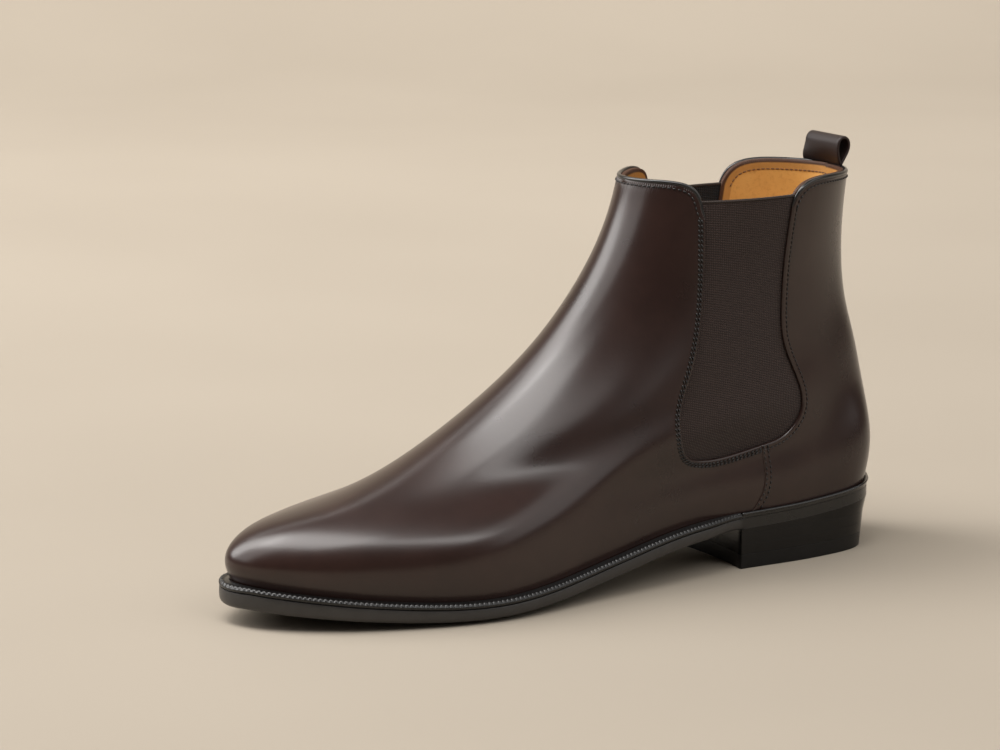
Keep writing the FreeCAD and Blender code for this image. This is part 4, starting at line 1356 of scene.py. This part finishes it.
def backdrop():
    """Pale floor that curves up into a wall behind the boot."""
    rows = [(-3.0, 0.0), (-1.0, 0.0), (FLOOR_REACH, 0.0)]
    for t in np.linspace(0, math.pi / 2, 14)[1:]:
        rows.append((FLOOR_REACH + WALL_CURVE * math.sin(t), WALL_CURVE - WALL_CURVE * math.cos(t)))
    rows.append((FLOOR_REACH + WALL_CURVE, 4.0))
    turn = math.radians(CAMERA_AZIMUTH)
    points = []
    for across in (-4.0, 4.0):
        for far, up in rows:
            x = across * math.cos(turn) - far * math.sin(turn)
            y = across * math.sin(turn) + far * math.cos(turn)
            points.append((x / MM, y / MM, up / MM))
    count = len(rows)
    faces = [(i, i + 1, count + i + 1, count + i) for i in range(count - 1)]
    floor = add_mesh("backdrop", points, faces)
    n = Nodes("backdrop_paint")
    cloud = n.noise(3.0, 2.0, 0.5)
    color = n.mix(n.range(cloud), (157, 147, 133), (161, 151, 137))
    assign(floor, n.finish(color, 0.85))


def camera():
    azimuth = math.radians(CAMERA_AZIMUTH)
    elevation = math.radians(CAMERA_ELEVATION)
    back = Vector((math.sin(azimuth) * math.cos(elevation), -math.cos(azimuth) * math.cos(elevation),
                   math.sin(elevation)))
    right = Vector((math.cos(azimuth), math.sin(azimuth), 0.0))
    up = back.cross(right)
    across, rise, height = CAMERA_AIM
    target = Vector((0.0, 0.0, height)) + right * across + up * rise
    data = bpy.data.cameras.new("camera")
    data.lens = CAMERA_LENS
    data.sensor_width = 36.0
    obj = bpy.data.objects.new("camera", data)
    obj.matrix_world = Matrix.Translation(target + back * CAMERA_DISTANCE) @ Matrix(
        (right, up, back)).transposed().to_4x4()
    bpy.context.scene.collection.objects.link(obj)
    bpy.context.scene.camera = obj
    return right, up, back


right, up, back = camera()
backdrop()


def seen_from(azimuth, elevation, distance=LIGHT_DISTANCE):
    """Place around the boot by angles in degrees: azimuth 0 is towards the camera, positive to the right."""
    turn = math.radians(azimuth)
    rise = math.radians(elevation)
    towards = Vector((back.x, back.y, 0)).normalized()
    level = right * math.sin(turn) + towards * math.cos(turn)
    return level * (distance * math.cos(rise)) + Vector((0, 0, LIGHT_TARGET[2] + distance * math.sin(rise)))


def softbox(name, azimuth, elevation, size, radiance, tilt=0.0, distance=LIGHT_DISTANCE, target=LIGHT_TARGET):
    """Even rectangular light that faces its target; tilt turns it about its own axis."""
    light = bpy.data.lights.new(name, "AREA")
    light.shape = "RECTANGLE"
    light.size, light.size_y = size
    light.energy = radiance * math.pi * size[0] * size[1]
    light.color = (1.0, 0.98, 0.96)
    obj = bpy.data.objects.new(name, light)
    obj.location = seen_from(azimuth, elevation, distance)
    facing = (Vector(target) - obj.location).to_track_quat("-Z", "Y")
    obj.rotation_euler = (facing @ Quaternion((0, 0, 1), math.radians(tilt))).to_euler()
    bpy.context.scene.collection.objects.link(obj)


softbox("key", -106, 42, (0.95, 2.5), 6.4)
softbox("left", -78, 40, (1.6, 2.2), 2.0)
softbox("top", -50, 73, (1.75, 0.95), 8.0)
softbox("front", 30.0, 53.0, (0.36, 1.7), 7.0, 35)
softbox("right", 75, 34, (2.3, 2.3), 1.1)
softbox("wall", 180, 55, (3.0, 0.8), 5.5, 0, 2.0, seen_from(180, 14, 2.4))

world = bpy.data.worlds.new("studio")
world.use_nodes = True
world.node_tree.nodes["Background"].inputs["Color"].default_value = (1.0, 0.97, 0.93, 1.0)
world.node_tree.nodes["Background"].inputs["Strength"].default_value = 0.08
bpy.context.scene.world = world
bpy.context.scene.view_settings.view_transform = "Standard"
